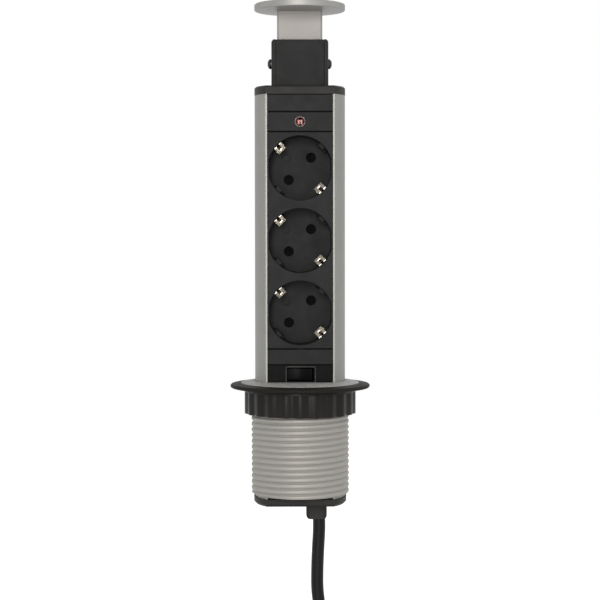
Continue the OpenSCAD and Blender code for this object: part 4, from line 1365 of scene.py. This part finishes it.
@dataclass
class NeonLamp:
    """The mains indicator: a clear lens with a thin rim, and a red glow lamp with two electrodes.

    Attributes:
        face: depth of the panel's front face.
        height: the lamp's height.
        rim, bore: outer and inner radius of the lens, in mm.
        bulb, wall: outer radius and thickness of the glow lamp's glass, in mm.
        tip, blunt: depth of the glass's front, and how far its round front reaches back, in mm.
        end: depth of the glass's open end, in mm.
        sunk: depth of the electrodes' faces behind the panel's.
        apart: distance of each electrode from the lamp's axis.
    """

    face: float = field(init=False)
    height: float = field(init=False)
    rim: float = 3.2
    bore: float = 2.44
    bulb: float = 2.4
    wall: float = 0.15
    tip: float = 0.25
    blunt: float = 1.3
    end: float = 10.5
    sunk: float = 0.8 * MM
    apart: float = 0.98 * MM

    def __post_init__(self) -> None:
        """Reads the lamp's place from the CAD lens."""
        low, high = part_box("lamp_lens")
        self.face = low.y + 0.1 * MM
        self.height = (low.z + high.z) / 2

    def turned(self, name: str, section: Sequence[tuple[float, float]]) -> bpy.types.Object:
        """Turns a section of radius and depth behind the panel's face round the lamp's axis.

        Args:
            name: name of the piece.
            section: the closed section in mm.

        Returns:
            The new object.
        """
        piece = Bench.outline(name, [(r * MM, -y * MM) for r, y in section])
        Bench.turn(piece, 64)
        Bench.settle(piece, (0, self.face, self.height), (90, 0, 0))
        Bench.smooth(piece, 40)
        return piece

    def build_lens(self) -> bpy.types.Object:
        """Turns the lens: a thin rounded rim on the panel and a skirt in the panel's bore.

        Returns:
            The lens.
        """
        rim, bore = self.rim, self.bore
        section = [
            (rim, 0.08), (rim, 0.0), (rim - 0.08, -0.1), (rim - 0.24, -0.16), (rim - 0.42, -0.1), (bore + 0.1, 0.12),
            (bore, 0.3), (bore, 2.4), (bore + 0.14, 2.4), (bore + 0.14, 0.6), (rim - 0.1, 0.6), (rim, 0.5),
        ]
        return self.turned("indicator_lens", section)

    def build_bulb(self) -> bpy.types.Object:
        """Turns the glow lamp's glass: a tube, open at the back, with a blunt round front.

        Returns:
            The glass.
        """
        inner, back = self.bulb - self.wall, self.tip + self.blunt
        steps = [math.radians(a) for a in range(0, 91, 10)]
        ball = [(self.bulb * math.sin(a), back - self.blunt * math.cos(a)) for a in steps]
        hollow = [(inner * math.sin(a), back - (self.blunt - self.wall) * math.cos(a)) for a in reversed(steps)]
        section = [*ball, (self.bulb, self.end), (inner, self.end), *hollow]
        return self.turned("glow_lamp_glass", section)

    def build_electrodes(self) -> bpy.types.Object:
        """Makes the two upright electrode plates with their wires, edges rounded.

        Returns:
            Both electrodes as one piece.
        """
        plates = []
        front = self.face + self.sunk
        for side in (-1, 1):
            middle = Vector((side * self.apart, front, self.height))
            low, high = Vector((-0.3, 0, -1.4)) * MM, Vector((0.3, 0.5, 1.0)) * MM
            plate = Bench.block("electrode_plate", middle + low, middle + high)
            Bench.edit(plate)
            Bench.pick(Part.FACE, lambda f: f.normal.y > FACING)
            bpy.ops.mesh.inset(thickness=0.12 * MM)
            bpy.ops.mesh.extrude_region_move(TRANSFORM_OT_translate={"value": (0, 6.2 * MM, 0)})
            Bench.round_off(plate, lambda e: all(abs(v.co.y - front) < HAIR for v in e.verts), 0.2 * MM, 3)
            plates.append(plate)
        Bench.join(plates[0], plates[1:])
        plates[0].name = plates[0].data.name = "glow_lamp_electrodes"
        Bench.smooth(plates[0], 40)
        return plates[0]

    def build(self) -> None:
        """Puts lens, glass and electrodes in place of the CAD ones."""
        Bench.fit(self.build_lens(), Body.TOWER, LENS, "lamp_lens")
        Bench.fit(self.build_bulb(), Body.TOWER, GLASS, "lamp_bulb")
        Bench.fit(self.build_electrodes(), Body.TOWER, ELECTRODE, "lamp_electrodes")


@dataclass
class SwitchBezel:
    """The snap-in frame round the rocker, whose rounded bars catch the light.

    Attributes:
        left, right, low, high: edges of the opening.
        bar: width of a bar.
        proud: how far the frame stands in front of the switch panel.
        corner, soft: rounding of the frame's corners and of its bars.
    """

    left: float = -7.9 * MM
    right: float = 8.5 * MM
    low: float = field(init=False)
    high: float = field(init=False)
    bar: float = 1.1 * MM
    proud: float = 0.7 * MM
    corner: float = 1.2 * MM
    soft: float = 0.35 * MM

    def __post_init__(self) -> None:
        """Reads the opening's height from the CAD rocker."""
        low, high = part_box("rocker")
        self.low, self.high = low.z - 0.2 * MM, high.z - 0.5 * MM

    def in_opening(self, face: bmesh.types.BMFace) -> bool:
        """Tells whether a face fills the opening, in front or at the back.

        Args:
            face: the face.

        Returns:
            True for a face in the opening.
        """
        slack = 0.1 * MM
        return abs(face.normal.y) > FACING and all(
            self.left - slack < v.co.x < self.right + slack and self.low - slack < v.co.z < self.high + slack
            for v in face.verts
        )

    def build_frame(self) -> bpy.types.Object:
        """Insets a plate to a frame, sets it on the panel and rounds its bars.

        Returns:
            The frame.
        """
        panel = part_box("switch_panel")[0].y
        front = panel - self.proud
        frame = Bench.block(
            "switch_bezel",
            Vector((self.left - self.bar, front, self.low - self.bar)),
            Vector((self.right + self.bar, panel - 0.02 * MM, self.high + self.bar)),
        )
        Bench.round_off(frame, lambda e: Bench.span(e, 1) > 0.3 * MM, self.corner, 5)
        Bench.edit(frame)
        Bench.pick(Part.FACE, lambda f: abs(f.normal.y) > FACING)
        bpy.ops.mesh.inset(thickness=self.bar)
        Bench.pick(Part.FACE, self.in_opening)
        bpy.ops.mesh.bridge_edge_loops()
        Bench.close(frame)
        Bench.round_off(
            frame,
            lambda e: all(v.co.y < front + HAIR for v in e.verts) and e.calc_face_angle(0.0) > SHARP,
            self.soft,
            4,
        )
        Bench.smooth(frame, 50)
        return frame

    def build(self) -> None:
        """Adds the frame in front of the CAD panel."""
        Bench.fit(self.build_frame(), Body.TOWER, BEZEL)


@dataclass
class Studio:
    """Plain pale floor, white surroundings and soft lamps.

    Attributes:
        ambient: strength of the surroundings on the object.
        near, far: distances from the tower between which the floor turns from lit paper to plain white.
        near_glow, far_glow: the floor's own white there, as the camera and reflections see it.
        room: height between the plug and the floor, so that the tower's 222 mm of travel stays above it.
        tint: colour of the lamps, a warm white.
        aim: what they face.
        lamps: name, place, width and height, and watts of each softbox.
    """

    ambient: float = 0.42
    near: float = 0.5
    far: float = 1.3
    near_glow: float = 0.25
    far_glow: float = 0.85
    room: float = 225 * MM
    tint: tuple[float, float, float] = (1.0, 0.97, 0.94)
    aim: tuple[float, float, float] = (0, 0, 0.08)
    lamps: tuple[tuple[str, tuple[float, float, float], tuple[float, float], float], ...] = (
        ("softbox_key", (-0.15, -1.5, 0.42), (0.3, 0.5), 10),
        ("softbox_left", (-1.4, 0.2, 0.7), (0.4, 1.2), 2),
        ("softbox_right", (1.4, 0.2, 0.7), (0.4, 1.2), 2),
        ("softbox_fill", (0.9, -1.2, 0.7), (0.3, 0.4), 3),
        ("softbox_low", (-0.15, -1.4, -0.1), (0.3, 0.3), 3),
        ("softbox_back", (0.9, 1.2, 1.3), (0.4, 0.4), 3.5),
    )

    def build_world(self) -> None:
        """Shows white to the camera, to metal and through glass, and lights more softly."""
        world = bpy.data.worlds.new("studio")
        bpy.context.scene.world = world
        world.use_nodes = True
        graph = Graph(world.node_tree)
        level = graph.add("ShaderNodeMapRange", {"Value": graph.shown(), "To Min": self.ambient, "To Max": 1.0})
        graph.fill(graph.tree.nodes["Background"], {"Color": (1, 1, 1, 1), "Strength": level})

    def build_floor(self, height: float) -> None:
        """Adds the floor, white but able to hold a shadow.

        Args:
            height: the floor's height.
        """
        Bench.clear()
        bpy.ops.mesh.primitive_circle_add(vertices=96, radius=4.0, fill_type="NGON", location=(0, 1.5, height))
        floor = Bench.named("floor")
        recipe = Recipe("Seamless paper, white")
        fibres = recipe.add("ShaderNodeTexNoise", {"Vector": recipe.place, "Scale": 1 / (30 * MM)})
        paper = recipe.add(
            "ShaderNodeMix", {"Factor": fibres, 6: linear("#EFEFEF"), 7: linear("#F2F2F2")}, output=2, data_type="RGBA"
        )
        fade = {"From Min": self.near, "From Max": self.far, "To Min": self.near_glow, "To Max": self.far_glow}
        glow = recipe.add("ShaderNodeMapRange", {"Value": recipe.reach(), **fade})
        shown = recipe.add("ShaderNodeMath", {0: recipe.shown(), 1: glow}, operation="MULTIPLY")
        recipe.shade(
            {"Base Color": paper, "Roughness": 0.9, "Emission Color": (1, 1, 1, 1), "Emission Strength": shown}
        )
        floor.data.materials.append(recipe.material)

    def add_lamp(self, name: str, place: Sequence[float], size: tuple[float, float], power: float) -> None:
        """Adds a softbox that faces the tower.

        Args:
            name: name of the lamp.
            place: where it hangs.
            size: width and height of its face.
            power: its power in watts.
        """
        data = bpy.data.lights.new(name, "AREA")
        data.shape, data.size, data.size_y, data.energy = "RECTANGLE", size[0], size[1], power
        data.color = self.tint
        lamp = bpy.data.objects.new(name, data)
        bpy.context.scene.collection.objects.link(lamp)
        lamp.location = place
        aim = Vector(self.aim) - Vector(place)
        lamp.rotation_euler = aim.to_track_quat("-Z", "Y").to_euler()

    def build(self) -> None:
        """Sets up the room for the object: a key light by the camera, and weak ones elsewhere."""
        self.build_world()
        self.build_floor(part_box("plug_pins")[0].z - self.room)
        for lamp in self.lamps:
            self.add_lamp(*lamp)
        bpy.context.scene.view_settings.view_transform = "Standard"


def main() -> None:
    """Sets the camera, finishes the CAD nodes, and builds the cord, the other pieces and the room."""
    logging.basicConfig(level=logging.INFO, format="%(name)s: %(message)s")
    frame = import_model()
    PhotoCamera().build()
    for finish, nodes in NODE_FINISHES.items():
        for node in nodes:
            finish.coat(frame["nodes"][node])
    for assembly in (MainsLead(), Collar(), Handle(), NeonLamp(), SwitchBezel(), RockerSwitch()):
        assembly.build()
        LOG.info("built %s", type(assembly).__name__)
    Studio().build()


if __name__ == "__main__":
    main()
